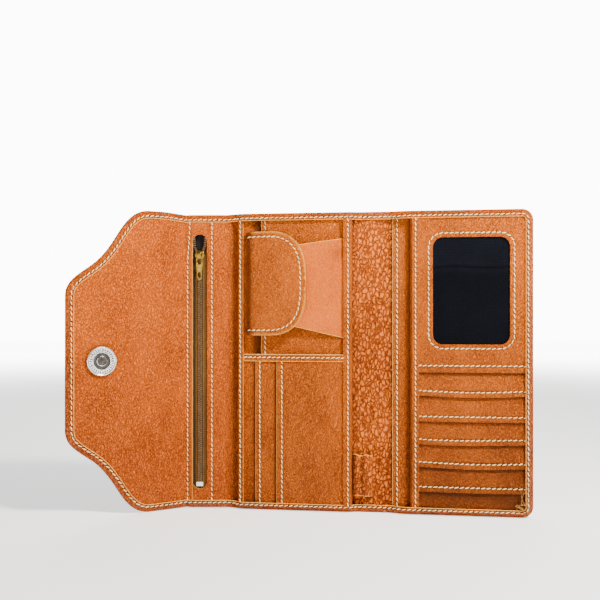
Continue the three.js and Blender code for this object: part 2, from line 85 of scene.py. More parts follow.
def lamp(name, place, aim, width, height, power, colour):
    light = bpy.data.lights.new(name, "AREA")
    light.shape = "RECTANGLE"
    light.size = width
    light.size_y = height
    light.energy = power
    light.color = colour
    holder = bpy.data.objects.new(name, light)
    holder.location = place
    holder.rotation_euler = (Vector(aim) - Vector(place)).to_track_quat("-Z", "Y").to_euler()
    bpy.context.collection.objects.link(holder)


lamp("key", (0.36, -0.37, 0.62), (0.02, 0, 0.09), 0.1, 0.1, 14.5, (1, 0.95, 0.87))
lamp("front", (-0.3, -1.0, 0.4), (0, 0, 0.09), 0.6, 0.4, 1.8, (1, 0.96, 0.9))
lamp("back", (0.0, 0.8, 0.6), (0, 0, 0.09), 1.2, 0.5, 9, (1, 1, 1))

# The backdrop is white, and gives only a part of that brightness to the wallet as soft light.
room = bpy.data.worlds.new("room")
room.use_nodes = True
backdrop = room.node_tree.nodes["Background"]
backdrop.inputs["Strength"].default_value = 12.0
soft_light = room.node_tree.nodes.new("ShaderNodeBackground")
soft_light.inputs["Color"].default_value = (1.0, 0.97, 0.93, 1)
soft_light.inputs["Strength"].default_value = 0.2
seen = room.node_tree.nodes.new("ShaderNodeLightPath")
either = room.node_tree.nodes.new("ShaderNodeMixShader")
backdrop.inputs["Color"].default_value = (1, 1, 1, 1)
room.node_tree.links.new(seen.outputs["Is Camera Ray"], either.inputs["Fac"])
room.node_tree.links.new(soft_light.outputs["Background"], either.inputs[1])
room.node_tree.links.new(backdrop.outputs["Background"], either.inputs[2])
world_out = room.node_tree.nodes["World Output"]
room.node_tree.links.new(either.outputs["Shader"], world_out.inputs["Surface"])
bpy.context.scene.world = room

floor_mesh = bpy.data.meshes.new("floor")
floor_mesh.from_pydata([(-4, -4, 0), (4, -4, 0), (4, 4, 0), (-4, 4, 0)], [], [(0, 1, 2, 3)])
floor = bpy.data.objects.new("floor", floor_mesh)
bpy.context.collection.objects.link(floor)
floor_paint = bpy.data.materials.new("floor_paint")
floor_paint.use_nodes = True
nodes = floor_paint.node_tree.nodes
links = floor_paint.node_tree.links
floor_face = nodes["Principled BSDF"]
floor_face.inputs["Base Color"].default_value = (0.96, 0.96, 0.96, 1)
floor_face.inputs["Roughness"].default_value = 0.8
floor_face.inputs["Emission Color"].default_value = (1, 1, 1, 1)
floor_place = nodes.new("ShaderNodeTexCoord")
floor_reach = nodes.new("ShaderNodeVectorMath")
floor_reach.operation = "LENGTH"
floor_glow = nodes.new("ShaderNodeMapRange")
floor_glow.interpolation_type = "SMOOTHSTEP"
for label, value in (("From Min", 0.7), ("From Max", 2.4), ("To Min", 0.8), ("To Max", 10.5)):
    floor_glow.inputs[label].default_value = value
links.new(floor_place.outputs["Object"], floor_reach.inputs[0])
links.new(floor_reach.outputs["Value"], floor_glow.inputs["Value"])
links.new(floor_glow.outputs["Result"], floor_face.inputs["Emission Strength"])
floor_mesh.materials.append(floor_paint)


# ---- Outer leather -------------------------------------------------------------------------
# One hide, drum-dyed tan and lightly pebbled, wraps the whole wallet. Its edges are pared,
# turned over to the inside and sewn down, so the shell is back, rounded edge and inner lip.
SKIN = (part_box("spine_outer_leather")[1].y - spine_axis.y) / MM
SPINE = (spine_axis.x - joints["flap_fold"]["pos_m"][0]) / MM
PANEL_TURN = -math.radians(joints["spine_fold"]["range_deg"][0])
FLAP_TURN = -math.radians(joints["flap_fold"]["range_deg"][0])
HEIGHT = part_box("centre_outer_leather")[1].z / MM
FLAP_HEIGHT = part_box("flap_outer_leather")[1].z / MM
SOFT_FOLD = 3.2  # leather each side of a spine fold that bends


def smooth(t):
    t = min(max(t, 0), 1)
    return t * t * (3 - 2 * t)


def world(x, z, depth):
    """The place of a point given along the wallet from the spine fold, up, and out from the
    back of the hide, all in millimetres, with the wallet bent at its two spine folds."""
    if x > -SPINE / 2:
        pivot = 0
        turn = -PANEL_TURN * smooth((x + SOFT_FOLD) / (2 * SOFT_FOLD))
    else:
        pivot = -SPINE
        turn = FLAP_TURN * smooth((pivot + SOFT_FOLD - x) / (2 * SOFT_FOLD))
    bent = Matrix.Rotation(turn, 2) @ Vector((x - pivot, SKIN - depth))
    return Vector((spine_axis.x + (bent.x + pivot) * MM, spine_axis.y + bent.y * MM, z * MM))


def between(x, stops):
    """A value that runs smoothly from stop to stop."""
    for (x0, y0), (x1, y1) in zip(stops, stops[1:]):
        if x <= x1:
            return y0 + (y1 - y0) * smooth((x - x0) / (x1 - x0))
    return stops[-1][1]


def spread(low, high, step, marks=()):
    """Even places from low to high, closer together round each mark."""
    count = max(1, round((high - low) / step))
    places = {low + (high - low) * i / count for i in range(count + 1)}
    for mark in marks:
        for offset in (-1.5, -1, -0.5, 0, 0.5, 1, 1.5):
            if low < mark + offset < high:
                places.add(mark + offset)
    tidy = [low]
    for place in sorted(places):
        if place - tidy[-1] > 0.3:
            tidy.append(place)
    tidy[-1] = high
    return tidy


class Wire:
    """The output of a shader node; sums on it add Math nodes."""

    def __init__(self, finish, socket):
        self.finish = finish
        self.socket = socket

    def sum(self, operation, first, second):
        return self.finish.node("Math", {"operation": operation}, {0: first, 1: second})

    def __add__(self, other):
        return self.sum("ADD", self, other)

    def __radd__(self, other):
        return self.sum("ADD", other, self)

    def __sub__(self, other):
        return self.sum("SUBTRACT", self, other)

    def __rsub__(self, other):
        return self.sum("SUBTRACT", other, self)

    def __mul__(self, other):
        return self.sum("MULTIPLY", self, other)

    def __rmul__(self, other):
        return self.sum("MULTIPLY", other, self)

    def __pow__(self, other):
        return self.sum("POWER", self, other)


class Finish:
    """A material and its node tree."""

    def __init__(self, name, **constants):
        self.material = bpy.data.materials.new(name)
        self.material.use_nodes = True
        self.tree = self.material.node_tree
        self.surface = self.tree.nodes["Principled BSDF"]
        for socket, value in constants.items():
            self.surface.inputs[socket.replace("_", " ")].default_value = value

    def node(self, kind, settings=None, sockets=None, output=0):
        made = self.tree.nodes.new("ShaderNode" + kind)
        for key, value in (settings or {}).items():
            if key == "stops":
                ramp = made.color_ramp
                while len(ramp.elements) < len(value):
                    ramp.elements.new(0.5)
                for element, (place, colour) in zip(ramp.elements, value):
                    element.position = place
                    element.color = (*colour, 1)
            else:
                setattr(made, key, value)
        for key, value in (sockets or {}).items():
            if isinstance(value, Wire):
                self.tree.links.new(value.socket, made.inputs[key])
            else:
                made.inputs[key].default_value = value
        return Wire(self, made.outputs[output])

    def feed(self, socket, wire):
        self.tree.links.new(wire.socket, self.surface.inputs[socket])

    def place(self, turn=(0, 0, 0), scale=(1, 1, 1)):
        coordinates = self.node("TexCoord", output=3)
        return self.node("Mapping", {}, {0: coordinates, 2: turn, 3: scale})

    def mix(self, factor, first, second):
        return self.node("Mix", {"data_type": "RGBA"}, {0: factor, 6: first, 7: second}, output=2)

    def noise(self, scale, detail, spot=None, **sockets):
        return self.node("TexNoise", {}, {"Vector": spot or self.place(), "Scale": scale,
                                          "Detail": detail, **sockets})

    def dye(self, tone, *stops):
        """A ramp of stops, each a place and a colour, led by a tone."""
        return self.node("ValToRGB", {"stops": stops}, {"Fac": tone})

    def rough(self, height, strength, distance):
        """Fine relief; the distance is in metres."""
        self.feed("Normal", self.node("Bump", {}, {"Strength": strength, "Distance": distance,
                                                   "Height": height}))


def speckled(name, roughness, scale, detail, low, high, strength, distance, span=(0.3, 0.7),
             stretch=1, **constants):
    """A plain stuff whose colour and relief both come from one noise."""
    stuff = Finish(name, Roughness=roughness, **constants)
    grain = stuff.noise(scale, detail, stuff.place((0, 0, 0), (1, 1, stretch)))
    stuff.feed("Base Color", stuff.dye(grain, (span[0], low), (span[1], high)))
    if strength:
        stuff.rough(grain, strength, distance)
    return stuff.material


RUBBED_GOLD = (0.80, 0.29, 0.025, 1)  # an edge that handling has polished


def leather(name, dark, tan, light, pebble, relief, slant=0.7, gloss=0.38, cells=0.5):
    """Pebbled hide: slanting grains with creases between them, pores, and cloudy dye."""
    hide = Finish(name, Specular_IOR_Level=0.32, Specular_Tint=(1.0, 0.60, 0.34, 1))
    spot = hide.place((0, slant, 0), (1, 1, 0.62))
    wander = hide.node("TexNoise", {}, {"Vector": spot, "Scale": 420, "Detail": 3}, output=1)
    strayed = hide.node("Mix", {"data_type": "VECTOR"}, {0: 0.0030, 4: spot, 5: wander}, output=1)
    creases = hide.node("TexVoronoi", {"feature": "DISTANCE_TO_EDGE"},
                        {"Vector": strayed, "Scale": 1000 / pebble})
    grain = hide.node("MapRange", {"interpolation_type": "SMOOTHSTEP"},
                      {"Value": creases, "From Max": 0.2})
    wrinkle = hide.noise(1250 / pebble, 3, strayed, Roughness=0.55, Distortion=0.2)
    pores = hide.noise(3000, 2, spot)
    cloud = hide.noise(38, 4, spot, Roughness=0.6)
    painted_shade = hide.node("Attribute", {"attribute_name": "crease"}, output=2)
    rubbed = hide.node("Attribute", {"attribute_name": "edge"}, output=2)
    up = hide.node("SeparateXYZ", {}, {0: hide.place()}, output=2)
    # Painted light: the height up makes the hide lighter towards the top, where light from above
    # falls.
    tone = cloud * 0.45 + wrinkle * 0.45 + grain * (0.12 + 0.30 * cells) + up * 0.7 - 0.17
    shade = hide.dye(tone, (0.27, dark), (0.5, tan), (0.76, light))
    # Painted shade: the crease attribute darkens the colour in folds, seam grooves and under edges,
    # where shadow falls.
    with_painted_shade = hide.mix(painted_shade * 0.9, shade, (*[c * 0.3 for c in dark], 1))
    hide.feed("Base Color", hide.mix(rubbed, with_painted_shade, RUBBED_GOLD))
    hide.feed("Roughness", gloss + pores * 0.12 - grain * 0.1 + painted_shade * 0.15)
    hide.rough(grain * cells + wrinkle * (1.5 - cells) + pores * 0.15, 1.0, relief * MM)
    return hide.material


tan_hide = leather("tan_hide", (0.14, 0.019, 0.001), (0.38, 0.064, 0.003), (0.61, 0.114, 0.006),
                   1.3, 1.5)
pared_edge = speckled("pared_edge", 0.7, 900, 4, (0.72, 0.24, 0.02), (0.97, 0.50, 0.09), 0, 0,
                      Specular_IOR_Level=0.25)


def finished(name, made, materials, sharp=None):
    """The object of a finished mesh, or of a bmesh that is done with, with its materials. Its
    edges look sharp past the angle sharp, in degrees."""
    mesh = made
    if isinstance(made, bmesh.types.BMesh):
        mesh = bpy.data.meshes.new(name)
        made.to_mesh(mesh)
        made.free()
    piece = bpy.data.objects.new(name, mesh)
    for material in materials:
        mesh.materials.append(material)
    bpy.context.collection.objects.link(piece)
    mesh.shade_smooth()
    if sharp:
        mesh.set_sharp_from_angle(angle=math.radians(sharp))
    return piece


def thicken(piece, thickness, offset=-1, rim=0):
    """Give a sheet its thickness in millimetres; rim is the material of its edge."""
    wall = piece.modifiers.new("wall", "SOLIDIFY")
    wall.thickness = thickness * MM
    wall.offset = offset
    wall.material_offset_rim = rim
    return wall


def evaluated(piece):
    """The piece's mesh with its modifiers made real."""
    bpy.context.view_layer.update()
    depsgraph = bpy.context.evaluated_depsgraph_get()
    return bpy.data.meshes.new_from_object(piece.evaluated_get(depsgraph))


def settle(piece):
    mesh = evaluated(piece)
    mesh.set_sharp_from_angle(angle=math.radians(48))
    piece.modifiers.clear()
    piece.data = mesh
    return piece


def web(shaped, rows, flip=False):
    """Faces between rows of vertices."""
    made = []
    for one, other in zip(rows, rows[1:]):
        for i in range(len(one) - 1):
            face = (one[i], other[i], other[i + 1], one[i + 1])
            made.append(shaped.faces.new(face[::-1] if flip else face))
    return made


def seam_at(x, z, seams):
    """How strongly a point lies in the groove of a seam, and on the leather it puffs up. A seam
    runs at a place along x or z, which may be a rule of the other one."""
    groove = 0
    puff = 0
    for way, place in seams:
        at, other = (x, z) if way == "x" else (z, x)
        off = abs(at - (place(other) if callable(place) else place))
        groove = max(groove, math.exp(-(off / 0.55) ** 2))
        puff = max(puff, math.exp(-((off - 1.7) / 0.9) ** 2))
    return groove, puff


def hide_sheet(name, columns, depth, thickness, material, seams=(), rim=0.3, raw=True,
               shade=None, polish=None, closed=False):
    """A ply of leather from columns of (x, z) places and a depth. It gets its thickness and a
    rounded edge, raw and pale where it was only cut. shade is painted shade, darker where
    shadow falls, and polish makes an edge golden."""
    shaped = bmesh.new()
    layer = shaped.verts.layers.float.new("crease")
    gold = shaped.verts.layers.float.new("edge")
    rows = []
    for column in columns:
        line = []
        for x, z in column:
            groove, puff = seam_at(x, z, seams)
            front = depth(x, z) if callable(depth) else depth
            slack = 0.16 * noise.noise(Vector((x / 17, z / 15, thickness * 7)))
            vertex = shaped.verts.new(world(x, z, front + slack + 0.14 * puff - 0.34 * groove))
            # Painted shade in the seam grooves, added to the given painted shade.
            vertex[layer] = 0.75 * groove + (shade(x, z) if shade else 0)
            vertex[gold] = polish(x, z) if polish else 0
            line.append(vertex)
        rows.append(line)
    if closed:
        rows.append(rows[0])
    web(shaped, rows)
    piece = finished(name, shaped, [material, pared_edge])
    thicken(piece, thickness, rim=int(raw))
    if rim:
        soften = piece.modifiers.new("soften", "BEVEL")
        soften.width = rim * MM
        soften.segments = 3
        soften.limit_method = "ANGLE"
        soften.angle_limit = math.radians(60)
        soften.material = int(raw)
    return settle(piece)


def ply(name, left, right, low, high, depth, thickness, material, seams=(), step=2.2, **looks):
    """A rectangular ply, with closer columns and rows along its seams."""
    across = spread(left, right, step, [place for way, place in seams if way == "x"])
    heights = spread(low, high, step, [place for way, place in seams if way == "z"])
    columns = [[(x, z) for z in heights] for x in across]
    return hide_sheet(name, columns, depth, thickness, material, seams, **looks)


def bezier(p0, p1, p2, p3, steps):
    for i in range(steps):
        t = i / steps
        yield tuple((1 - t) ** 3 * a + 3 * t * (1 - t) ** 2 * b + 3 * t * t * (1 - t) * c + t ** 3 * d
                    for a, b, c, d in zip(p0, p1, p2, p3))


# The lower edge of the flap, out from its fold: shoulder, hollow sweep and rounded corner.
FLAP_REACH = 77
TIP_CORNER = 55
shoulder = list(bezier((0, 0.5), (9, 0.1), (17, 0), (25, 0), 10))
shoulder += bezier((25, 0), (34, 0.2), (39.5, 6.5), (45.5, 16.5), 16)
shoulder += bezier((45.5, 16.5), (50, 24), (55, 31), (61.5, 35.8), 14)
shoulder += bezier((61.5, 35.8), (70, 42), (FLAP_REACH, 46), (FLAP_REACH, TIP_CORNER), 16)
shoulder.append((FLAP_REACH, TIP_CORNER))
CARD_END = 192
CARD_CORNER = 7
SPINE_CUT = -18.25
CENTRE_CUT = 45

LIP = [(-38, 3.8), (-28, 4.4), (-22, 5.3), (-6, 5.2), (0, 4.5), (4.5, 4.5), (10, 7.6), (78, 7.6),
       (85, 4.5), (103, 4.5), (115, 8.3), (CARD_END, 8.3)]
RIM = [(-38, 3.0), (-28, 3.5), (-22, 4.1), (-6, 4.1), (0, 3.7), (4.5, 3.7), (10, 5.3), (78, 5.3),
       (85, 3.8), (103, 3.8), (115, 5.9), (CARD_END, 5.9)]
SHELL = 0.9  # thickness of the outer hide
SEAM = 3.5  # stitch line in from the outer edge
LIP_WIDTH = 5.1


def top_of(x, z):
    """The point above the middle that answers to a point of the lower edge."""
    rise = (FLAP_HEIGHT - HEIGHT) * smooth((-SPINE - x) / 14)
    return HEIGHT + rise - z


def lower_edge(start, end, tip):
    """Points along the lower edge from start to the flap's tip or the card panel's end."""
    if tip == "flap":
        flat = [(x, 0.4) for x in reversed(spread(-SPINE, start, 1.6))]
        return flat[:-1] + [(-SPINE - u, z) for u, z in shoulder]
    flat = [(x, 0.4 * (1 - smooth((x + 2) / 8))) for x in spread(start, end, 1.6)]
    if tip == "card":
        for i in range(1, 9):
            angle = math.pi / 2 * i / 8
            flat.append((end + CARD_CORNER * math.sin(angle), CARD_CORNER * (1 - math.cos(angle))))
    return flat


def outline(start, end, tip, rows):
    """The outer edge in order (lower edge, tip, upper edge), the inward normals, and the count
    of columns."""
    lower = lower_edge(start, end, tip)
    upper = [(x, top_of(x, z)) for x, z in lower]
    path = list(lower)
    if tip:
        x, z0, z1 = lower[-1][0], lower[-1][1], upper[-1][1]
        path += [(x, z0 + (z1 - z0) * j / rows) for j in range(1, rows)]
        path += reversed(upper)
    side = -1 if tip == "flap" else 1

    def normals(points):
        found = []
        for i, point in enumerate(points):
            before = points[max(i - 1, 0)]
            after = points[min(i + 1, len(points) - 1)]
            along = Vector((after[0] - before[0], after[1] - before[1])).normalized()
            found.append((-along.y * side, along.x * side))
        return found

    if tip:
        return path, normals(path), len(lower)
    return (lower, upper), (normals(lower), [(0, -1)] * len(upper)), len(lower)


def lip_section(x, corner):
    """Out from the back, round the edge, and over to the inner lip: offset in, depth, and painted
    shade in the groove of the border seam.
    """
    lip = between(x, LIP)
    rim = between(x, RIM)
    puff = 0.25 * corner
    return [(2.6, 0, 0), (1.3, 0.05, 0), (0.5, 0.35, 0), (0.08, 1.1, 0), (0, rim * 0.5, 0),
            (0.1, rim - 0.9, 0), (0.55, rim - 0.25, 0), (1.3, rim + 0.05, 0),
            (2.3, (rim + lip) / 2 + puff, 0), (SEAM - 0.6, lip - 0.3 + puff, 0.15),
            (SEAM - 0.2, lip - 0.55, 0.8), (SEAM + 0.2, lip - 0.55, 0.8),
            (SEAM + 0.6, lip - 0.15, 0.2), (LIP_WIDTH - 0.8, lip, 0),
            (LIP_WIDTH - 0.3, lip - 0.02, 0), (LIP_WIDTH, lip - 0.2, 0)]


def pleat(x, z, i):
    """Gathers of the turned edge where it goes round the card panel's corners."""
    near = min(math.hypot(x - CARD_END + 3, z - 3), math.hypot(x - CARD_END + 3, z - HEIGHT + 3))
    return smooth(1 - near / 7) * math.sin(i * 2.4)


def shell(name, start, end, tip):
    rows = 64
    path, normal, columns = outline(start, end, tip, rows)
    shaped = bmesh.new()
    layer = shaped.verts.layers.float.new("crease")

    def vertex(x, z, depth, shade=0):
        drift = 0.3 * noise.noise(Vector((x / 27, z / 31, 1.7)))
        made = shaped.verts.new(world(x, z, depth + (drift if depth < 0.2 else 0)))
        made[layer] = shade
        return made

    def ring_run(points, normals, index):
        """The vertices of one ring of the section, along the outline."""
        made = []
        for i, ((x, z), (nx, nz)) in enumerate(zip(points, normals)):
            gather = pleat(x, z, i)
            offset, depth, shade = lip_section(x, abs(gather))[index]
            if index > 5:
                depth += 0.28 * gather * smooth((offset - 0.8) / 2)
            # Painted shade darkens the gathered leather at the card panel's corners.
            made.append(vertex(x + nx * offset, z + nz * offset, depth, shade + 0.2 * abs(gather)))
        return made

    def loft(rings, flip):
        web(shaped, rings[:-1], flip)
        for face in web(shaped, rings[-2:], flip):
            face.material_index = 1

    sections = len(lip_section(0, 0))
    if tip:
        rings = [ring_run(path, normal, k) for k in range(sections)]
        low, high = rings[0][:columns], rings[0][columns + rows - 1:][::-1]
        last = rings[0][columns - 1:columns + rows]
        loft(rings, tip != "flap")
    else:
        lower = [ring_run(path[0], normal[0], k) for k in range(sections)]
        upper = [ring_run(path[1], normal[1], k) for k in range(sections)]
        low, high, last = lower[0], upper[0], None
        loft(lower, True)
        loft(upper, False)
    columns_made = []
    for i, (bottom, top) in enumerate(zip(low, high)):
        if last and i == columns - 1:
            columns_made.append(last)
            continue
        line = [bottom]
        for j in range(1, rows):
            at = bottom.co.lerp(top.co, j / rows)
            drift = 0.3 * noise.noise(Vector((i / 12, j / 9, 4.2)))
            line.append(shaped.verts.new(at + Vector((0, drift * MM, 0))))
        columns_made.append(line + [top])
    for left, right in zip(columns_made, columns_made[1:]):
        for j in range(rows):
            face = (left[j], left[j + 1], right[j + 1], right[j])
            shaped.faces.new(face[::-1] if tip == "flap" else face)
    piece = finished(name, shaped, [tan_hide, pared_edge])
    thicken(piece, SHELL, rim=1).use_quality_normals = True
    return settle(piece)


def bend_at_spine_fold(piece):
    world(-SOFT_FOLD, 95, SKIN)
    world(SOFT_FOLD, 95, SKIN)
    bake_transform(piece)


def bend_at_flap_fold(piece):
    world(-SPINE + SOFT_FOLD, 95, SKIN)
    world(-SPINE - SOFT_FOLD, 95, SKIN)
    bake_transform(piece)


GUTTER = 99.8
GUTTER_HALF = 17.8


def bend_at_gutter(piece):
    world(GUTTER - GUTTER_HALF, 95, SKIN)
    world(GUTTER + GUTTER_HALF, 95, SKIN)
    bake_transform(piece)


flap_shell = shell("hide_flap", SPINE_CUT, 0, "flap")
bend_at_flap_fold(flap_shell)
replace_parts(flap_shell, "flap_outer_leather", "flap_turned_edge")
spine_shell = shell("hide_spine", SPINE_CUT, CENTRE_CUT, None)
bend_at_spine_fold(spine_shell)
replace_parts(spine_shell, "spine_outer_leather", "spine_edge_lower", "spine_edge_upper",
            "centre_edge_lower", "centre_edge_upper")
panel_shell = shell("hide_panels", CENTRE_CUT, CARD_END - CARD_CORNER, "card")
bend_at_gutter(panel_shell)
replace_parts(panel_shell, "centre_outer_leather", "card_outer_leather", "card_turned_edge")

# ---- Sewing thread -------------------------------------------------------------------------
# Waxed cream thread, two strands laid together, locks every seam at eight stitches to the inch.
# Each stitch leans a little and dives into its needle holes.
STITCH_PITCH = 3.15
STITCH_LENGTH = 2.85
STITCH_WIDTH = 0.7

thread = Finish("waxed_thread", Roughness=0.6)
fibre = thread.noise(2600, 3)
soil = thread.noise(90, 2)
thread.feed("Base Color", thread.dye(fibre * 0.6 + soil * 0.45, (0.3, (0.66, 0.36, 0.10)),
                                     (0.5, (0.90, 0.66, 0.30)), (0.75, (0.98, 0.84, 0.50))))
thread.rough(fibre, 0.5, 0.0001)
thread = thread.material


class Pattern:
    """A Geometry Nodes tree for what repeats, with named sizes in millimetres."""

    def __init__(self, name, **sizes):
        self.tree = bpy.data.node_groups.new(name, "GeometryNodeTree")
        face = self.tree.interface
        self.inputs = {"Geometry": face.new_socket("Geometry", socket_type="NodeSocketGeometry")}
        for label, value in sizes.items():
            socket = face.new_socket(label, socket_type="NodeSocketFloat")
            socket.default_value = value * MM
            self.inputs[label] = socket
        face.new_socket("Geometry", in_out="OUTPUT", socket_type="NodeSocketGeometry")
        self.start = self.tree.nodes.new("NodeGroupInput")

    def size(self, label):
        return Wire(self, self.start.outputs[label])

    def node(self, kind, settings=None, sockets=None, output=0):
        prefix = "ShaderNode" if kind in ("Math", "CombineXYZ") else ""
        made = self.tree.nodes.new(prefix + kind)
        for key, value in (settings or {}).items():
            setattr(made, key, value)
        for key, value in (sockets or {}).items():
            if isinstance(value, Wire):
                self.tree.links.new(value.socket, made.inputs[key])
            else:
                made.inputs[key].default_value = value
        return Wire(self, made.outputs[output])

    def close(self, shape, material):
        real = self.node("GeometryNodeRealizeInstances", {}, {0: shape})
        coated = self.node("GeometryNodeSetMaterial", {}, {0: real, "Material": material})
        end = self.tree.nodes.new("NodeGroupOutput")
        self.tree.links.new(coated.socket, end.inputs[0])
        return self

    def make(self, name, mesh, **sizes):
        """The pattern grown on a mesh, as a plain mesh of its own."""
        piece = bpy.data.objects.new(name, mesh)
        bpy.context.collection.objects.link(piece)
        grown = piece.modifiers.new("grown", "NODES")
        grown.node_group = self.tree
        for label, value in sizes.items():
            grown[self.inputs[label].identifier] = value * MM
        settle(piece)
        piece.data.shade_smooth()
        return piece


sewing = Pattern("sewing", Pitch=STITCH_PITCH, Length=STITCH_LENGTH, Width=STITCH_WIDTH)
run = sewing.node("GeometryNodeMeshToCurve", {}, {0: sewing.size("Geometry")})
holes = sewing.node("GeometryNodeResampleCurve", {"mode": "LENGTH"},
                    {0: run, "Length": sewing.size("Pitch")})
half = sewing.node("CombineXYZ", {}, {0: sewing.size("Length") * 0.5})
back_half = sewing.node("CombineXYZ", {}, {0: sewing.size("Length") * -0.5})
strand = sewing.node("GeometryNodeCurvePrimitiveLine", {}, {"Start": back_half, "End": half})
strand = sewing.node("GeometryNodeResampleCurve", {}, {0: strand, "Count": 7})
along = sewing.node("GeometryNodeSplineParameter")
arch = 1 - (2 * along - 1) ** 4
lean = (along - 0.5) * sewing.size("Width") * 0.75
lift = (arch - 0.85) * sewing.size("Width") * 0.6
shift = sewing.node("CombineXYZ", {}, {1: lean, 2: lift})
strand = sewing.node("GeometryNodeSetPosition", {}, {0: strand, "Offset": shift})
strand = sewing.node("GeometryNodeSetCurveTilt", {}, {0: strand, "Tilt": along * 5})
ply_shape = sewing.node("GeometryNodeCurveStar", {}, {
    "Points": 4, "Inner Radius": sewing.size("Width") * 0.43,
    "Outer Radius": sewing.size("Width") * 0.5})
taper = sewing.node("GeometryNodeSetCurveRadius", {}, {0: strand, "Radius": 0.45 + 0.55 * arch})
stitch = sewing.node("GeometryNodeCurveToMesh", {}, {
    0: taper, "Profile Curve": ply_shape, "Fill Caps": True, "Scale": 0.45 + 0.55 * arch})
tangent = sewing.node("GeometryNodeInputTangent")
outward = sewing.node("GeometryNodeInputNamedAttribute", {"data_type": "FLOAT_VECTOR"},
                      {"Name": "outward"})
aim = sewing.node("FunctionNodeAxesToRotation", {"primary_axis": "Z", "secondary_axis": "X"},
                  {0: outward, 1: tangent})
wobble = sewing.node("FunctionNodeRandomValue", {"data_type": "FLOAT_VECTOR"},
                     {0: (-0.04, -0.05, -0.02), 1: (0.04, 0.05, 0.13), "Seed": 7})
turned = sewing.node("FunctionNodeRotateRotation", {"rotation_space": "LOCAL"}, {0: aim, 1: wobble})
size = sewing.node("FunctionNodeRandomValue", {"data_type": "FLOAT_VECTOR"},
                   {0: (0.93, 0.88, 0.9), 1: (1.02, 1.1, 1.08), "Seed": 3})
sewn = sewing.node("GeometryNodeInstanceOnPoints", {},
                   {0: holes, "Instance": stitch, "Rotation": turned, "Scale": size})
sewing.close(sewn, thread)


def sew(name, runs, side=1):
    """Rows of stitches along runs of (x, z, depth) points on the leather. side is -1 on the
    back of the wallet."""
    mesh = bpy.data.meshes.new(name)
    points = []
    outwards = []
    edges = []
    for path in runs:
        for i, (x, z, depth) in enumerate(path):
            if i:
                edges.append((len(points) - 1, len(points)))
            points.append(world(x, z, depth))
            outwards.extend((world(x, z, depth + side) - world(x, z, depth)) / MM)
    mesh.from_pydata(points, edges, [])
    mesh.attributes.new("outward", "FLOAT_VECTOR", "POINT").data.foreach_set("vector", outwards)
    return sewing.make(name, mesh)


def row(left, low, right, high, depth, step=2.5):
    """A straight run of stitches; depth may be a rule of x and z."""
    count = max(2, round(math.hypot(right - left, high - low) / step))
    points = []
    for i in range(count + 1):
        x = left + (right - left) * i / count
        z = low + (high - low) * i / count
        points.append((x, z, depth(x, z) if callable(depth) else depth))
    return points


def border_run(points, normals):
    return [(x + nx * SEAM, z + nz * SEAM, between(x, LIP) - 0.3)
            for (x, z), (nx, nz) in zip(points, normals)]


def border(name, sides):
    """The border seam of one part of the shell, and the same seam seen on its back."""
    front = sew(name, [border_run(points, normals) for points, normals in sides])
    back = sew(name + "_back", [[(x, z, 0.1) for x, z, _ in border_run(points, normals)]
                                for points, normals in sides], side=-1)
    return front, back


path, inward, _ = outline(SPINE_CUT, 0, "flap", 64)
for piece in border("thread_flap_border", [(path, inward)]):
    bend_at_flap_fold(piece)
(lower, upper), (lower_in, upper_in), _ = outline(SPINE_CUT, CENTRE_CUT, None, 0)
for piece in border("thread_spine_border", [(lower, lower_in), (upper, upper_in)]):
    bend_at_spine_fold(piece)
path, inward, _ = outline(CENTRE_CUT, CARD_END - CARD_CORNER, "card", 64)
for piece in border("thread_panel_border", [(path, inward)]):
    bend_at_gutter(piece)


# ---- Flap lining ---------------------------------------------------------------------------
# A smoother hide with a fine hair-cell grain lines the flap over a thin board. Its outer edge
# lies under the turned lip, and it runs on over the fold to carry the zip.
lining_hide = leather("lining_hide", (0.18, 0.026, 0.001), (0.44, 0.076, 0.003),
                      (0.67, 0.130, 0.006), 1.15, 1.0)


def laid_out(node):
    """Left, right, low, high, back and front of a CAD node, as if the wallet lay flat."""
    places = []
    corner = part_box(node)[0]
    for vertex in frame["nodes"][node].data.vertices:
        spot = vertex.co
        if corner.x < joints["flap_fold"]["pos_m"][0] - 0.001:
            pivot, turn = -SPINE, -FLAP_TURN
        elif corner.x < spine_axis.x:
            pivot, turn = 0, 0
        else:
            pivot, turn = 0, PANEL_TURN
        x, y = (spot.x - spine_axis.x) / MM, (spot.y - spine_axis.y) / MM
        straight = Matrix.Rotation(turn, 2) @ Vector((x - pivot, y))
        places.append((straight.x + pivot, spot.z / MM, SKIN - straight.y))
    xs, zs, depths = zip(*places)
    return min(xs), max(xs), min(zs), max(zs), min(depths), max(depths)


LINING_INSET = 4.3
LINING_END = -24.3
FOLD_STITCH = -26.6
lining_front = laid_out("flap_lining")[5]
facing_front = laid_out("zip_facing")[5]
cap_left, cap_right, cap_low, cap_high = laid_out("snap_cap")[:4]
SNAP_X, SNAP_Z = (cap_left + cap_right) / 2, (cap_low + cap_high) / 2
SNAP_RADIUS = (cap_right - cap_left) / 2
LINING_RISE = [(-110, lining_front), (-31, lining_front + 0.1), (-24, facing_front),
               (-4, facing_front), (5.5, 2.6), (12, 2.4)]


def lining_depth(x, z):
    ring = math.hypot(x - SNAP_X, z - SNAP_Z) - SNAP_RADIUS
    dimple = 0.45 * math.exp(-(ring / 2.2) ** 2) if x < -60 else 0
    slack = 0.35 * noise.noise(Vector((x / 33, z / 41, 9))) if x < -34 else 0
    return between(x, LINING_RISE) - dimple + slack


path, inward, count = outline(SPINE_CUT, 0, "flap", 64)
rimline = [(x + nx * LINING_INSET, z + nz * LINING_INSET)
           for (x, z), (nx, nz) in zip(path[:count], inward[:count])]
rimline.sort(reverse=True)


def rim_height(x):
    """The lining's lower edge at a place along the flap."""
    for (x0, z0), (x1, z1) in zip(rimline, rimline[1:]):
        if x1 <= x <= x0:
            return z0 + (z1 - z0) * (x0 - x) / max(x0 - x1, 1e-6)
    return rimline[-1][1]


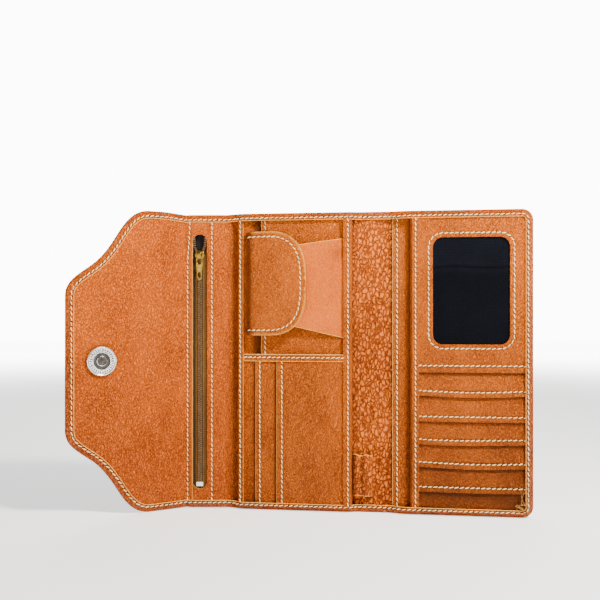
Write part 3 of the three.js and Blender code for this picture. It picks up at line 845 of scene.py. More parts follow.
tip = rimline[-1][0]
across = [tip] + [tip + 3 * (i / 6) ** 2 for i in range(1, 7)]
across += spread(tip + 3, LINING_END, 2, [FOLD_STITCH, FOLD_STITCH + 1.4])[1:]
columns = []
for x in across:
    low = rim_height(x)
    high = top_of(x, low)
    columns.append([(x, low + (high - low) * j / 88) for j in range(89)])


def flap_shade(x, z):
    # Painted shade in the dip round the snap.
    ring = math.hypot(x - SNAP_X, z - SNAP_Z) - SNAP_RADIUS
    return 0.35 * math.exp(-(ring / 1.6) ** 2)


def fold_seam(z):
    """The seam beside the fold, which swings towards the slot at its top end."""
    return FOLD_STITCH + 1.7 * smooth((z - 156) / 26)


flap_lining = hide_sheet("lining_flap", columns, lining_depth, 0.7, lining_hide, [("x", fold_seam)],
                         rim=0, shade=flap_shade)
bend_at_flap_fold(flap_lining)
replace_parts(flap_lining, "flap_lining")


fold_thread = sew("thread_fold", [[(fold_seam(z), z, lining_depth(fold_seam(z), z) - 0.05)
                                   for z in spread(6, 184.5, 2.5)]])
bend_at_flap_fold(fold_thread)


def coat(nodes, material):
    """A finish for parts that keep their CAD shape."""
    for node in nodes:
        for holder in frame["nodes"][node].material_slots:
            holder.material = material


board = speckled("pressed_board", 0.85, 700, 5, (0.20, 0.15, 0.10), (0.34, 0.27, 0.19), 0.4,
                 0.0002, stretch=0.2)
coat(["flap_stiffener"], board)


# ---- Snap ----------------------------------------------------------------------------------
# A magnetic snap half in bright nickel sits in the lining on a washer: rolled rim, a band with
# a plain struck pattern, and a dark sunk centre with its stud. Its mate is set in the back.
def metal(name, low, high, rough, relief):
    """Polished metal with fine scratches and soft clouding."""
    plate = Finish(name, Metallic=1.0)
    scratch = plate.noise(420, 4, plate.place((0.4, 0.2, 0.7), (1, 1, 14)))
    haze = plate.noise(240, 3)
    plate.feed("Base Color", plate.dye(haze * 0.6 + scratch * 0.4, (0.35, low), (0.65, high)))
    plate.feed("Roughness", rough + haze * 0.12 + scratch * 0.08)
    plate.rough(haze + scratch * 0.3, relief, 0.0001)
    return plate.material


nickel = metal("bright_nickel", (0.62, 0.60, 0.57), (0.86, 0.85, 0.82), 0.16, 0.2)
dark_nickel = metal("dark_nickel", (0.045, 0.04, 0.036), (0.11, 0.10, 0.09), 0.24, 0.25)


def spun(name, section, materials, around=112):
    """A round part turned about the snap's axis from a section of (radius, depth, material)."""
    shaped = bmesh.new()
    rings = []
    for radius, depth, _ in section:
        if radius == 0:
            rings.append([shaped.verts.new(world(SNAP_X, SNAP_Z, depth))] * around)
            continue
        turns = [math.tau * i / around for i in range(around)]
        rings.append([shaped.verts.new(world(SNAP_X + radius * math.cos(turn),
                                             SNAP_Z + radius * math.sin(turn), depth))
                      for turn in turns])
    for (outer, inner), (_, _, paint) in zip(zip(rings, rings[1:]), section[1:]):
        for i in range(around):
            j = (i + 1) % around
            corners = list(dict.fromkeys((outer[i], outer[j], inner[j], inner[i])))
            shaped.faces.new(corners).material_index = paint
    return finished(name, shaped, materials, sharp=35)


base = lining_front
profile = [(0, -0.3, 0), (8.9, -0.3, 0), (9.2, 0.2, 0), (SNAP_RADIUS, 0.9, 0), (9.15, 1.5, 0),
           (8.85, 1.85, 0), (8.45, 1.95, 0), (8.1, 1.8, 0), (7.9, 1.5, 0), (7.75, 1.4, 0),
           (5.95, 1.45, 0), (5.8, 1.6, 0), (5.6, 1.75, 0), (5.3, 1.75, 0), (5.1, 1.5, 0),
           (5.0, 0.6, 1), (4.7, 0.35, 1), (3.3, 0.3, 1), (3.15, 0.9, 1), (3.05, 1.35, 0),
           (2.8, 1.5, 0), (2.55, 1.42, 1), (2.2, 1.3, 1), (1.2, 1.5, 1), (0, 1.55, 1)]
section = [(radius, base + rise, paint) for radius, rise, paint in profile]
snap_front = spun("snap_front", section, [nickel, dark_nickel])
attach(snap_front, "front_flap")
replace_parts(snap_front, "snap_cap", "snap_boss")

struck = Pattern("struck_marks", Radius=6.85, Length=0.95, Width=0.42, Height=0.3)
marks = struck.node("GeometryNodeCurvePrimitiveCircle", {},
                    {"Resolution": 30, "Radius": struck.size("Radius")})
bar = struck.node("GeometryNodeMeshCylinder", {},
                  {"Vertices": 6, "Side Segments": 1, "Radius": 1.0, "Depth": 1.0})
shape = struck.node("CombineXYZ", {}, {0: struck.size("Length"), 1: struck.size("Width"),
                                       2: struck.size("Height")})
line = struck.node("GeometryNodeInputTangent")
spin = struck.node("FunctionNodeAxesToRotation", {"primary_axis": "Z", "secondary_axis": "Y"},
                   {0: (0, 0, 1), 1: line})
odd = struck.node("FunctionNodeRandomValue", {"data_type": "FLOAT_VECTOR"},
                  {0: (0.55, 0.8, 0.9), 1: (1.0, 1.3, 1.1), "Seed": 11})
marks = struck.node("GeometryNodeInstanceOnPoints", {}, {
    0: marks, "Instance": bar, "Rotation": spin,
    "Scale": struck.node("ShaderNodeVectorMath", {"operation": "MULTIPLY"}, {0: shape, 1: odd})})
struck.close(marks, dark_nickel)
snap_marks = struck.make("snap_marks", bpy.data.meshes.new("snap_marks"))
for vertex in snap_marks.data.vertices:
    x, z, rise = vertex.co / MM
    vertex.co = world(SNAP_X + x, SNAP_Z + z, base + 1.4 + rise)
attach(snap_marks, "front_flap")
coat(["snap_washer", "snap_mate"], nickel)


# ---- Zip pocket ----------------------------------------------------------------------------
# The spine carries a zipped pocket. The lining goes on across the spine with a narrow slot cut
# in it, and two woven tapes are sewn behind the slot.
slot_left, slot_right, slot_low, slot_high = -22.8, -13.7, 12.6, 177.0
slot_corner = (slot_right - slot_left) / 2 - 0.05
ZIP_SEAM = -10.5


def around(hole, outer, steps, near=()):
    """Columns of places that run from a rounded hole out to a rectangle, clockwise. near gives
    the first distances in millimetres, and the rest of the way is shared out in steps."""
    left, right, low, high, corner = hole
    out_left, out_right, out_low, out_high = outer
    pairs = []
    sides = [((left + corner, high - corner), 180, out_left, out_high),
             ((right - corner, high - corner), 90, out_right, out_high),
             ((right - corner, low + corner), 0, out_right, out_low),
             ((left + corner, low + corner), -90, out_left, out_low)]
    runs = [[((left, z), (out_left, z)) for z in spread(low + corner, high - corner, 2)],
            [((x, high), (x, out_high)) for x in spread(left + corner, right - corner, 2)],
            [((right, z), (out_right, z)) for z in spread(low + corner, high - corner, 2)[::-1]],
            [((x, low), (x, out_low)) for x in spread(left + corner, right - corner, 2)[::-1]]]
    for straight, ((x, z), start, side, end) in zip(runs, sides):
        pairs += straight
        meeting = math.degrees(math.atan2(end - z, side - x))
        if start == 180 and meeting < 0:
            meeting += 360
        for angle in sorted({start - 90 * i / 10 for i in range(1, 10)} | {meeting}, reverse=True):
            c, s = math.cos(math.radians(angle)), math.sin(math.radians(angle))
            reach = min((side - x) / c if abs(c) > 1e-6 else 1e9,
                        (end - z) / s if abs(s) > 1e-6 else 1e9)
            pairs.append(((x + corner * c, z + corner * s), (x + reach * c, z + reach * s)))
    columns = []
    for (x0, z0), (x1, z1) in pairs:
        length = math.hypot(x1 - x0, z1 - z0)
        places = [distance / length for distance in near]
        first = places[-1] if places else 0
        places += [first + (1 - first) * i / steps for i in range(1 if places else 0, steps + 1)]
        columns.append([(x0 + (x1 - x0) * t, z0 + (z1 - z0) * t) for t in places])
    return columns


def stack_shadow(x, z):
    return 0.55 * smooth((x + 3) / 8)


facing_slot = (slot_left, slot_right, slot_low, slot_high, slot_corner)
columns = around(facing_slot, (LINING_END, 8, 4.4, 186), 34)


def facing_depth(x, z):
    dip = smooth(1 - abs(x - slot_right + 0.2) / 1.5) if x > slot_right - 0.2 else 0
    end = 0.35 * smooth(1 - abs(z - slot_high - 2.5) / 6) * smooth(1 - abs(x + 16.5) / 6)
    lift = 0.5 * smooth(1 - (slot_left - x) / 1.2) if x < slot_left + 0.01 else 0
    return between(x, LINING_RISE) + end - 0.12 * dip + lift


def slot_polish(x, z):
    if x >= slot_left + 0.01:
        return 0
    return smooth(1 - (slot_left - x) / 1.3) * smooth((slot_high - z) / 6)


facing = hide_sheet("zip_facing_hide", columns, facing_depth, 0.8, lining_hide, [("x", ZIP_SEAM)],
                    rim=0.32, shade=stack_shadow, polish=slot_polish, closed=True)
bend_at_spine_fold(facing)
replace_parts(facing, "zip_facing")
zip_thread = sew("thread_zip", [row(ZIP_SEAM, 184.5, ZIP_SEAM, 6, facing_front - 0.05)])
bend_at_spine_fold(zip_thread)


def woven(name, count, dark, light, shine=0.2):
    """Woven cloth: fine threads over and under, in two tones; count is how closely they lie."""
    cloth = Finish(name, Roughness=0.85, Specular_IOR_Level=shine)
    spot = cloth.place()
    along_x = cloth.node("TexWave", {"bands_direction": "X"}, {"Vector": spot, "Scale": count})
    along_z = cloth.node("TexWave", {"bands_direction": "Z"}, {"Vector": spot, "Scale": count})
    fuzz = cloth.noise(1500, 3, spot)
    cloud = cloth.noise(45, 3, spot)
    weave = along_x * along_z
    tone = weave * 0.45 + fuzz * 0.3 + cloud * 0.3
    shade = cloth.dye(tone, (0.25, dark), (0.8, light))
    # The crease attribute is painted shade: it darkens the cloth where shadow falls.
    crease = cloth.node("Attribute", {"attribute_name": "crease"}, output=2)
    cloth.feed("Base Color", cloth.mix(crease, shade, (*[c * 0.12 for c in dark], 1)))
    cloth.rough(weave + fuzz * 0.4, 0.5, 0.00015)
    return cloth.material


zip_tape = woven("zip_tape_weave", 420, (0.045, 0.016, 0.003), (0.36, 0.165, 0.022))
pocket_cloth = woven("pocket_cloth", 500, (0.003, 0.002, 0.002), (0.012, 0.008, 0.006))
bag_left, bag_right, bag_low, bag_high, bag_back, bag_front = laid_out("zip_pocket_lining")
pocket_lining = ply("pocket_lining_cloth", bag_left, bag_right, bag_low, bag_high, bag_front,
                    bag_front - bag_back, pocket_cloth, rim=0, raw=False)
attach(pocket_lining, "spine")
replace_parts(pocket_lining, "zip_pocket_lining")
(bag_right - bag_left) * MM
(bag_high - bag_low) * MM
far_left, far_right, tape_low, tape_high, tape_back, tape_front = laid_out("zip_tape_far")
near_left, near_right = laid_out("zip_tape_near")[:2]
ZIP_LINE = (far_right + near_left) / 2
PARTED = 2.8  # how far each tape swings aside above the slider


def tape(name, left, right, bead):
    """A tape with woven cords along it, and a gap above the slider where the tapes part."""
    def depth(x, z):
        cord = 0.16 * math.cos((x - bead) * 3.7) if abs(x - bead) < 3.2 else 0
        return tape_front + cord + 0.5 * math.exp(-((x - bead) / 0.5) ** 2)

    def shade(x, z):
        # Painted shade on the tape: the shadow of the slot's edges, the dark above the slider where
        # the tapes part, and dark lines along the coil.
        off = abs(x - ZIP_LINE)
        lines = 1.1 * math.exp(-((off - 1.6) / 0.32) ** 2) + math.exp(-((off - 3.1) / 0.3) ** 2)
        shadow = 1.2 * smooth(1 - (x - slot_left) / 2.0) + smooth(1 - (slot_right - x) / 0.9)
        return min(1, lines + shadow + 0.8 * smooth((z - 162) / 5))

    def parted(x, z):
        away = PARTED * smooth((z - 163) / 9)
        return (x + away * (1 if right > ZIP_LINE else -1) * smooth(1 - abs(x - bead) / 5), z)

    heights = spread(tape_low, tape_high, 2.5)
    columns = [[parted(x, z) for z in heights] for x in spread(left, right, 0.3)]
    piece = hide_sheet(name, columns, depth, tape_front - tape_back, zip_tape, rim=0, shade=shade)
    piece.data.materials[1] = zip_tape
    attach(piece, "spine")
    return piece


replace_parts(tape("tape_far", far_left, far_right, far_right - 0.6), "zip_tape_far")
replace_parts(tape("tape_near", near_left, near_right, near_left + 0.6), "zip_tape_near")

coil = speckled("coil_nylon", 0.42, 900, 3, (0.045, 0.018, 0.006), (0.19, 0.095, 0.03), 0.3, 0.0001)

teeth = Pattern("coil_teeth", Pitch=1.2, Length=1.5, Width=0.72)
run = teeth.node("GeometryNodeMeshToCurve", {}, {0: teeth.size("Geometry")})
places = teeth.node("GeometryNodeResampleCurve", {"mode": "LENGTH"},
                    {0: run, "Length": teeth.size("Pitch")})
tooth = teeth.node("GeometryNodeMeshCylinder", {},
                   {"Vertices": 8, "Side Segments": 1, "Radius": 0.5, "Depth": 1.0})
girth = teeth.node("CombineXYZ", {}, {0: teeth.size("Width"), 1: teeth.size("Width"),
                                      2: teeth.size("Length")})
lying = teeth.node("GeometryNodeInstanceOnPoints", {}, {
    0: places, "Instance": tooth, "Rotation": (0, math.radians(90), 0), "Scale": girth})
teeth.close(lying, coil)
_, _, teeth_low, teeth_high, _, teeth_front = laid_out("zip_teeth_near")
for name, side, phase in (("far", -1, 0), ("near", 1, 0.6)):
    spots = [(side * 0.72, z) for z in (teeth_low - 0.4, 158)]
    spots += [(side * (0.8 + PARTED * smooth((z - 162) / 9)), z)
              for z in (163, 166, 169, 172, teeth_high)]
    spots = [world(ZIP_LINE + off, z + phase, teeth_front - 0.3) for off, z in spots]
    mesh = bpy.data.meshes.new("coil_" + name)
    mesh.from_pydata(spots, [(i, i + 1) for i in range(len(spots) - 1)], [])
    coil_row = teeth.make("coil_" + name, mesh)
    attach(coil_row, "spine")
    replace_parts(coil_row, "zip_teeth_" + name)
coat(["zip_bottom_stop"], nickel)


# ---- Zip slider and pull -------------------------------------------------------------------
# Both are die-cast and brass plated: a slider with a rounded hood and a bridge over its back,
# and a flat keyhole-shaped pull that hangs from the bridge. Two dark nickel clips, one on each
# parted tape, stop the slider at the top.
brass = metal("plated_brass", (0.09, 0.045, 0.005), (0.50, 0.29, 0.04), 0.2, 0.4)


def cut_plate(name, outline_points, holes, back, front, soft, material):
    """A flat plate with holes and rounded edges, from outlines of (x, z)."""
    flat = bpy.data.curves.new(name, "CURVE")
    flat.dimensions = "2D"
    flat.fill_mode = "BOTH"
    flat.extrude = (front - back) / 2 - soft
    flat.bevel_depth = soft
    flat.bevel_resolution = 3
    flat.offset = -soft
    for points in [outline_points] + holes:
        spline = flat.splines.new("POLY")
        spline.points.add(len(points) - 1)
        for point, (x, z) in zip(spline.points, points):
            point.co = (x, z, 0, 1)
        spline.use_cyclic_u = True
    cutter = bpy.data.objects.new(name + "_outline", flat)
    bpy.context.collection.objects.link(cutter)
    mesh = evaluated(cutter)
    bpy.data.objects.remove(cutter)
    for vertex in mesh.vertices:
        x, z, rise = vertex.co
        vertex.co = world(x, z, (back + front) / 2 + rise)
    shaped = bmesh.new()
    shaped.from_mesh(mesh)
    bmesh.ops.remove_doubles(shaped, verts=shaped.verts, dist=1e-6)
    bmesh.ops.recalc_face_normals(shaped, faces=shaped.faces)
    shaped.to_mesh(mesh)
    shaped.free()
    mesh.materials.clear()
    return finished(name, mesh, [material], sharp=40)


def ring(x, z, across_half, up_half, count=20, squareness=1.0):
    """An oval outline, more box-like as squareness falls."""
    points = []
    for i in range(count):
        c, s = math.cos(math.tau * i / count), math.sin(math.tau * i / count)
        points.append((x + across_half * math.copysign(abs(c) ** squareness, c),
                       z + up_half * math.copysign(abs(s) ** squareness, s)))
    return points


for name, side in (("far", -1), ("near", 1)):
    _, _, stop_low, stop_high, stop_back, stop_front = laid_out("zip_top_stop_" + name)
    clip = ring(ZIP_LINE + side * (0.8 + PARTED), (stop_low + stop_high) / 2, 0.8,
                (stop_high - stop_low) / 2)
    stop = cut_plate("top_stop_" + name, clip, [], stop_back, stop_front, 0.25, dark_nickel)
    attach(stop, "spine")
    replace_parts(stop, "zip_top_stop_" + name)
_, _, slider_low, slider_high, slider_back, bridge_front = laid_out("zip_slider")
_, _, pull_low, _, pull_back, pull_front = laid_out("zip_pull")
slider_mid = (slider_low + slider_high) / 2
hood = cut_plate("slider_hood", ring(ZIP_LINE, slider_high - 2.7, 3.1, 2.7, 32, 0.85), [],
                 slider_back + 2.3, slider_back + 3.4, 0.5, brass)
# The sole is dark nickel, a painted shade for the dark under the hood and through the pull's hole.
sole = cut_plate("slider_sole", ring(ZIP_LINE, slider_mid, 3.1, 4.0, 32, 0.62), [],
                 slider_back + 0.1, slider_back + 0.9, 0.3, dark_nickel)
wedge = cut_plate("slider_wedge", ring(ZIP_LINE, slider_high - 1.6, 0.75, 1.2, 16), [],
                  tape_front + 0.75, slider_back + 2.8, 0.2, brass)
shaped = bmesh.new()
rows = []
for i in range(13):
    swing = math.pi * i / 12
    z = slider_high - 3.1 - 2.7 * math.cos(swing)
    depth = slider_back + 3.0 + (bridge_front - slider_back - 3.2) * math.sin(swing) ** 0.6
    half = 1.2 + 0.35 * math.sin(swing)
    rows.append([shaped.verts.new(world(ZIP_LINE + half * math.cos(a), z, depth + 0.28 * math.sin(a)))
                 for a in (math.tau * j / 10 for j in range(10))])
for one, other in zip(rows, rows[1:]):
    for j in range(10):
        shaped.faces.new((one[j], one[(j + 1) % 10], other[(j + 1) % 10], other[j]))
shaped.faces.new(rows[0][::-1])
shaped.faces.new(rows[-1])
bmesh.ops.recalc_face_normals(shaped, faces=shaped.faces)
bridge = finished("slider_bridge", shaped, [brass])
for piece in (hood, sole, wedge, bridge):
    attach(piece, "zip_slider_body")
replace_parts(hood, "zip_slider")

pivot_z = joints["zip_pull_swing"]["pos_m"][2] / MM
pull_outline = []
for i in range(11):
    a = math.pi * i / 10
    pull_outline.append((ZIP_LINE + 2.15 * math.cos(a), pivot_z - 1.4 + 1.9 * math.sin(a)))
for x, z in ((-2.25, pivot_z - 3), (-2.1, pivot_z - 5), (-1.75, pivot_z - 8), (-1.6, pivot_z - 10.5)):
    pull_outline.append((ZIP_LINE + x, z))
for i in range(11):
    a = math.pi + math.pi * i / 10
    pull_outline.append((ZIP_LINE + 1.75 * math.cos(a), pull_low + 1.9 + 1.85 * math.sin(a)))
for x, z in ((1.6, pivot_z - 10.5), (1.75, pivot_z - 8), (2.1, pivot_z - 5), (2.25, pivot_z - 3)):
    pull_outline.append((ZIP_LINE + x, z))
pull = cut_plate("pull_tab", pull_outline,
                 [ring(ZIP_LINE, pivot_z - 2.4, 1.5, 2.0)[::-1],
                  ring(ZIP_LINE, pull_low + 3.4, 1.1, 1.9)[::-1]],
                 pull_back, pull_front, 0.26, brass)
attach(pull, "zip_pull_tab")
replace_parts(pull, "zip_pull")


# ---- Gutter lining -------------------------------------------------------------------------
# One soft, coarsely pebbled skin lines both panels and makes the gutter that the card side
# folds on, so it is left a little full there.
gutter_hide = leather("gutter_hide", (0.13, 0.017, 0.001), (0.39, 0.068, 0.003), (0.68, 0.15, 0.012),
                      2.1, 1.9, slant=0.3, gloss=0.36, cells=0.7)
_, _, lining_low, lining_high, _, lining_top = laid_out("centre_lining")
PLY = 0.8  # thickness of an inner hide


def gutter_depth(x, z):
    full = 0.9 * smooth(1 - abs(x - 92) / 13) + 0.45 * noise.noise(Vector((x / 9, z / 24, 3)))
    return lining_top + full


def gutter_shade(x, z):
    # Painted shade beside the right binding and towards the fold of the gutter.
    return 0.5 * smooth(1 - (x - 80.4) / 3.2) + 0.35 * smooth((x - 101) / 5)


gutter = ply("gutter_lining", 8.5, 124, lining_low - 1, lining_high + 1, gutter_depth, PLY,
             gutter_hide, step=1.8, shade=gutter_shade)
bend_at_gutter(gutter)
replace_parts(gutter, "centre_lining", "card_lining")


# ---- Note pocket and slots of the centre ---------------------------------------------------
# Flat plies of thin hide stand one on another, with their free edges left raw. All of them
# are caught by the lip, the two bindings and the strip across the middle.
pocket_hide = leather("pocket_hide", (0.15, 0.024, 0.001), (0.40, 0.077, 0.002),
                      (0.62, 0.130, 0.005), 1.05, 1.1, slant=0.75, cells=0.45)
base_left, base_right, base_low, base_high, _, base_front = laid_out("note_pocket_base")
back_left, _, slot_foot, slot_head, _, back_front = laid_out("lower_slot_back")
front_left, _, _, _, _, top_front = laid_out("lower_slot_front")
upper_left, panel_right, upper_foot, upper_head, _, upper_front = laid_out("upper_slot_panel")
TUCK = 1.3  # how far a ply runs on under its binding


def near_edge(place, reach, strength):
    """Painted shadow on the leather beneath the free edge of the next ply."""
    def shade(x, z):
        off = max(place - x, 0)
        near, far = math.exp(-(off / 0.9) ** 2), math.exp(-off / (reach / 3))
        return min(1, strength * (near + 0.55 * far))
    return shade


note_base = ply("note_pocket_hide", base_left - 2, base_right - 1, base_low - 1, base_high + 1,
                base_front, PLY, pocket_hide, shade=near_edge(back_left, 6, 0.75))
slot_back = ply("slot_back_hide", back_left, panel_right + TUCK, slot_foot - 1, slot_head + 2,
                back_front, PLY, pocket_hide, [("x", back_left + 2.8)],
                shade=near_edge(front_left, 5, 0.75))
slot_front = ply("slot_front_hide", front_left, panel_right + TUCK, slot_foot - 1, slot_head + 2,
                 top_front, PLY, pocket_hide, [("x", front_left + 3.5)])
upper_slot = ply("upper_slot_hide", upper_left, panel_right + TUCK, upper_foot - 2, upper_head + 1,
                 upper_front, PLY, pocket_hide, [("x", upper_left + 2.6)])
for piece, node in ((note_base, "note_pocket_base"), (slot_back, "lower_slot_back"),
                    (slot_front, "lower_slot_front"), (upper_slot, "upper_slot_panel")):
    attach(piece, "centre_panel")
    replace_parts(piece, node)
slot_thread = sew("thread_slots", [
    row(back_left + 2.8, 95, back_left + 2.8, 6, back_front - 0.05),
    row(front_left + 3.5, 95, front_left + 3.5, 6, top_front - 0.05),
    row(upper_left + 2.6, 184, upper_left + 2.6, 101, upper_front - 0.05)])
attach(slot_thread, "centre_panel")


# ---- Bindings and strip of the centre ------------------------------------------------------
# Narrow strips, rolled on their outer side and cut on their inner side, are sewn down each
# side of the centre. One more strip crosses it between the upper and the lower slots.
bind_left, bind_inner, _, _, _, bind_front = laid_out("centre_binding_left")
right_inner, right_outer, _, _, _, right_front = laid_out("centre_binding_right")
strip_left, _, strip_low, strip_high, _, strip_front = laid_out("divider_strip")


def binding(name, roll, cut, low, high, front, foot, seam):
    """A strip rolled over on one side and cut on the other, with close columns over its roll."""
    def depth(x, z):
        t = min(abs(x - roll) / 1.7, 1)
        arch = math.sqrt(1 - (1 - t) ** 2)
        return foot + (front - foot) * arch + 0.2 * math.sin(z / 9) * (1 - t)

    left, right = min(roll, cut), max(roll, cut)
    across = spread(left, right, 0.5, [seam])
    towards = 1 if roll == left else -1
    extra = [roll + towards * 1.7 * t * t for t in (0.1, 0.2, 0.35, 0.5, 0.7, 0.85)]
    across = sorted(set(across) | set(extra))
    columns = [[(x, z) for z in spread(low, high, 2)] for x in across]
    return hide_sheet(name, columns, depth, 0.9, pocket_hide, [("x", seam)], rim=0.38)


LEFT_SEAM = 8.7
RIGHT_SEAM = 78.1
left_bind = binding("binding_left", bind_left, bind_inner, base_low - 1, base_high + 1, bind_front,
                    2.7, LEFT_SEAM)
right_bind = binding("binding_right", right_outer, right_inner, base_low - 1, base_high + 1,
                     right_front + 0.25, 2.9, RIGHT_SEAM)
STRIP_SEAM = strip_low + 2.55
STRIP_RISE = [(strip_left, base_front + PLY), (back_left - 1, base_front + PLY + 0.2),
              (back_left + 2, back_front + PLY + 0.2), (front_left - 1, back_front + PLY + 0.25),
              (front_left + 3, strip_front + 0.5), (80, strip_front + 0.5)]
strip = ply("divider_hide", strip_left - 0.3, panel_right + 0.6, strip_low, strip_high,
            lambda x, z: between(x, STRIP_RISE), 0.9, pocket_hide, [("z", STRIP_SEAM)],
            rim=0.38, step=1.5)
for piece, node in ((left_bind, "centre_binding_left"), (right_bind, "centre_binding_right"),
                    (strip, "divider_strip")):
    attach(piece, "centre_panel")
    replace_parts(piece, node)
binding_thread = sew("thread_bindings", [
    row(LEFT_SEAM, 185, LEFT_SEAM, 5.5, bind_front - 0.05),
    row(RIGHT_SEAM, 185, RIGHT_SEAM, 5.5, right_front + 0.2),
    row(strip_left + 0.6, STRIP_SEAM, panel_right, STRIP_SEAM,
        lambda x, z: between(x, STRIP_RISE) - 0.05)])
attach(binding_thread, "centre_panel")


# ---- Coin pocket ---------------------------------------------------------------------------
# A smooth front, wider at its sewn end, stands up towards its mouth on two folded gussets.
# The flap over the mouth is hinged on its own root at the left.
coin_hide = leather("coin_hide", (0.34, 0.055, 0.002), (0.56, 0.105, 0.005),
                    (0.72, 0.155, 0.010), 0.9, 0.5, slant=0.3, gloss=0.48, cells=0.3)
mouth_x = laid_out("coin_pocket_front")[0]
MOUTH_LOW, MOUTH_HIGH, MOUTH_DEPTH = 119.5, 168.0, 11.9
END_LOW, END_HIGH, END_DEPTH = 110.2, 173.7, 7.0
coin_end = panel_right + TUCK


def coin_share(x):
    return (x - mouth_x) / (coin_end - mouth_x)


def coin_low(x):
    return MOUTH_LOW + (END_LOW - MOUTH_LOW) * coin_share(x)


def coin_high(x):
    return MOUTH_HIGH + (END_HIGH - MOUTH_HIGH) * coin_share(x)


def coin_depth(x, z):
    t = coin_share(x)
    across_pocket = (z - coin_low(x)) / (coin_high(x) - coin_low(x))
    slack = 0.5 * math.sin(math.pi * across_pocket) * (1 - t)
    slack += 0.25 * math.sin(across_pocket * 7 + t * 3) * t
    return MOUTH_DEPTH + (END_DEPTH - MOUTH_DEPTH) * t - 0.5 + slack


def coin_shade(x, z):
    # Painted shade in the wrinkle at the upper corner and beside the sewn end.
    t = coin_share(x)
    corner = math.exp(-((x - coin_end + 5) / 6) ** 2 - ((z - coin_high(x) + 9) / 4) ** 2)
    return 0.42 * corner + 0.4 * smooth((t - 0.93) / 0.07)


columns = []
for x in spread(mouth_x, coin_end, 1.4):
    low, high = coin_low(x), coin_high(x)
    columns.append([(x, low + (high - low) * j / 42) for j in range(43)])
coin_front = hide_sheet("coin_front", columns, coin_depth, PLY, coin_hide, rim=0.34, shade=coin_shade)


def gusset(name, edge, towards):
    """A folded side wall between the pocket's front and the panel beneath."""
    shaped = bmesh.new()
    layer = shaped.verts.layers.float.new("crease")
    rows = []
    for x in spread(mouth_x + 1.2, coin_end, 2):
        top = coin_depth(x, edge(x)) - PLY * 0.7
        foot = upper_front - 0.1
        line = []
        for j in range(13):
            t = j / 12
            tucked = (1 - abs(2 * t - 1)) * (top - foot) * 0.45
            vertex = shaped.verts.new(world(x, edge(x) + towards * (0.35 + tucked),
                                            top + (foot - top) * t))
            # Painted shade on the folded wall, darkest in its fold.
            vertex[layer] = 0.25 + 0.5 * (1 - abs(2 * t - 1))
            line.append(vertex)
        rows.append(line)
    web(shaped, rows, towards < 0)
    piece = finished(name, shaped, [pocket_hide])
    thicken(piece, 0.5, offset=0)
    return settle(piece)


lower_gusset = gusset("gusset_lower", coin_low, 1)
upper_gusset = gusset("gusset_upper", coin_high, -1)
for piece, node in ((coin_front, "coin_pocket_front"), (lower_gusset, "coin_gusset_lower"),
                    (upper_gusset, "coin_gusset_upper")):
    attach(piece, "centre_panel")
    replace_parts(piece, node)

root_left, _, flap_low, flap_high, _, root_front = laid_out("coin_flap_root")
tip_x = laid_out("coin_flap_leather")[1] + 1.6  # bows out a little past the straight pattern
flap_mid = (flap_low + flap_high) / 2
flap_half = (flap_high - flap_low) / 2
FLAP_SECTION = [(root_left, root_front + 0.1), (12.4, 6.1), (13.6, 7.2), (14.6, 8.9), (15.9, 10.4),
                (18, 11.4), (22, 12.3), (28, 13.2), (36, 13.9), (44, 14.2), (tip_x, 14.1)]
CURVE_START = 29.0


def flap_section(x):
    """The coin flap's front, from its root up its roll and out to the tip."""
    for (x0, d0), (x1, d1) in zip(FLAP_SECTION, FLAP_SECTION[1:]):
        if x <= x1:
            return d0 + (d1 - d0) * (x - x0) / (x1 - x0)
    return FLAP_SECTION[-1][1]


def flap_rim(inset):
    """Points of the coin flap's edge, from the root along the foot to the tip's middle."""
    reach = tip_x - inset - CURVE_START
    rise = flap_half - inset
    points = [(x, flap_mid - rise) for x in spread(root_left, CURVE_START, 1.1)]
    for i in range(1, 19):
        a = math.radians(88.5 * (i / 18) ** 0.8)
        points.append((CURVE_START + reach * math.sin(a) ** 0.92,
                       flap_mid - rise * math.cos(a) ** 0.62))
    return points


COIN_SEAM_INSET = 3.3
columns = []
for x, z in flap_rim(0):
    low, high = z, 2 * flap_mid - z
    columns.append([(x, low + (high - low) * j / 46) for j in range(47)])


coin_seam_line = flap_rim(COIN_SEAM_INSET)
coin_flap_edge = flap_rim(0)


def gap_to(line, x, z):
    """Distance from a line that follows the coin flap's edge, on its lower or its upper half."""
    folded = z if z < flap_mid else 2 * flap_mid - z
    return min(math.hypot(x - line_x, folded - line_z) for line_x, line_z in line)


def coin_flap_depth(x, z):
    waver = 0.3 * noise.noise(Vector((x / 11, z / 16, 21)))
    edge_droop = 0.7 * smooth(1 - min(z - flap_low, flap_high - z) / 5) * smooth((x - 15) / 8)
    groove = 0.3 * math.exp(-gap_to(coin_seam_line, x, z) ** 2)
    return flap_section(x) + waver * smooth((x - 14) / 6) - edge_droop - groove


def coin_flap_shade(x, z):
    # Painted shade on the roll at the root and in the seam's groove.
    roll = 0.7 * math.exp(-((x - 14.5) / 2.6) ** 2)
    return roll + 0.35 * math.exp(-(gap_to(coin_seam_line, x, z) / 0.8) ** 2)


def coin_flap_polish(x, z):
    """The flap's cut edge is dressed and rubbed until it shines."""
    return smooth((1.5 - gap_to(coin_flap_edge, x, z)) / 0.8) * smooth((x - 15) / 5)


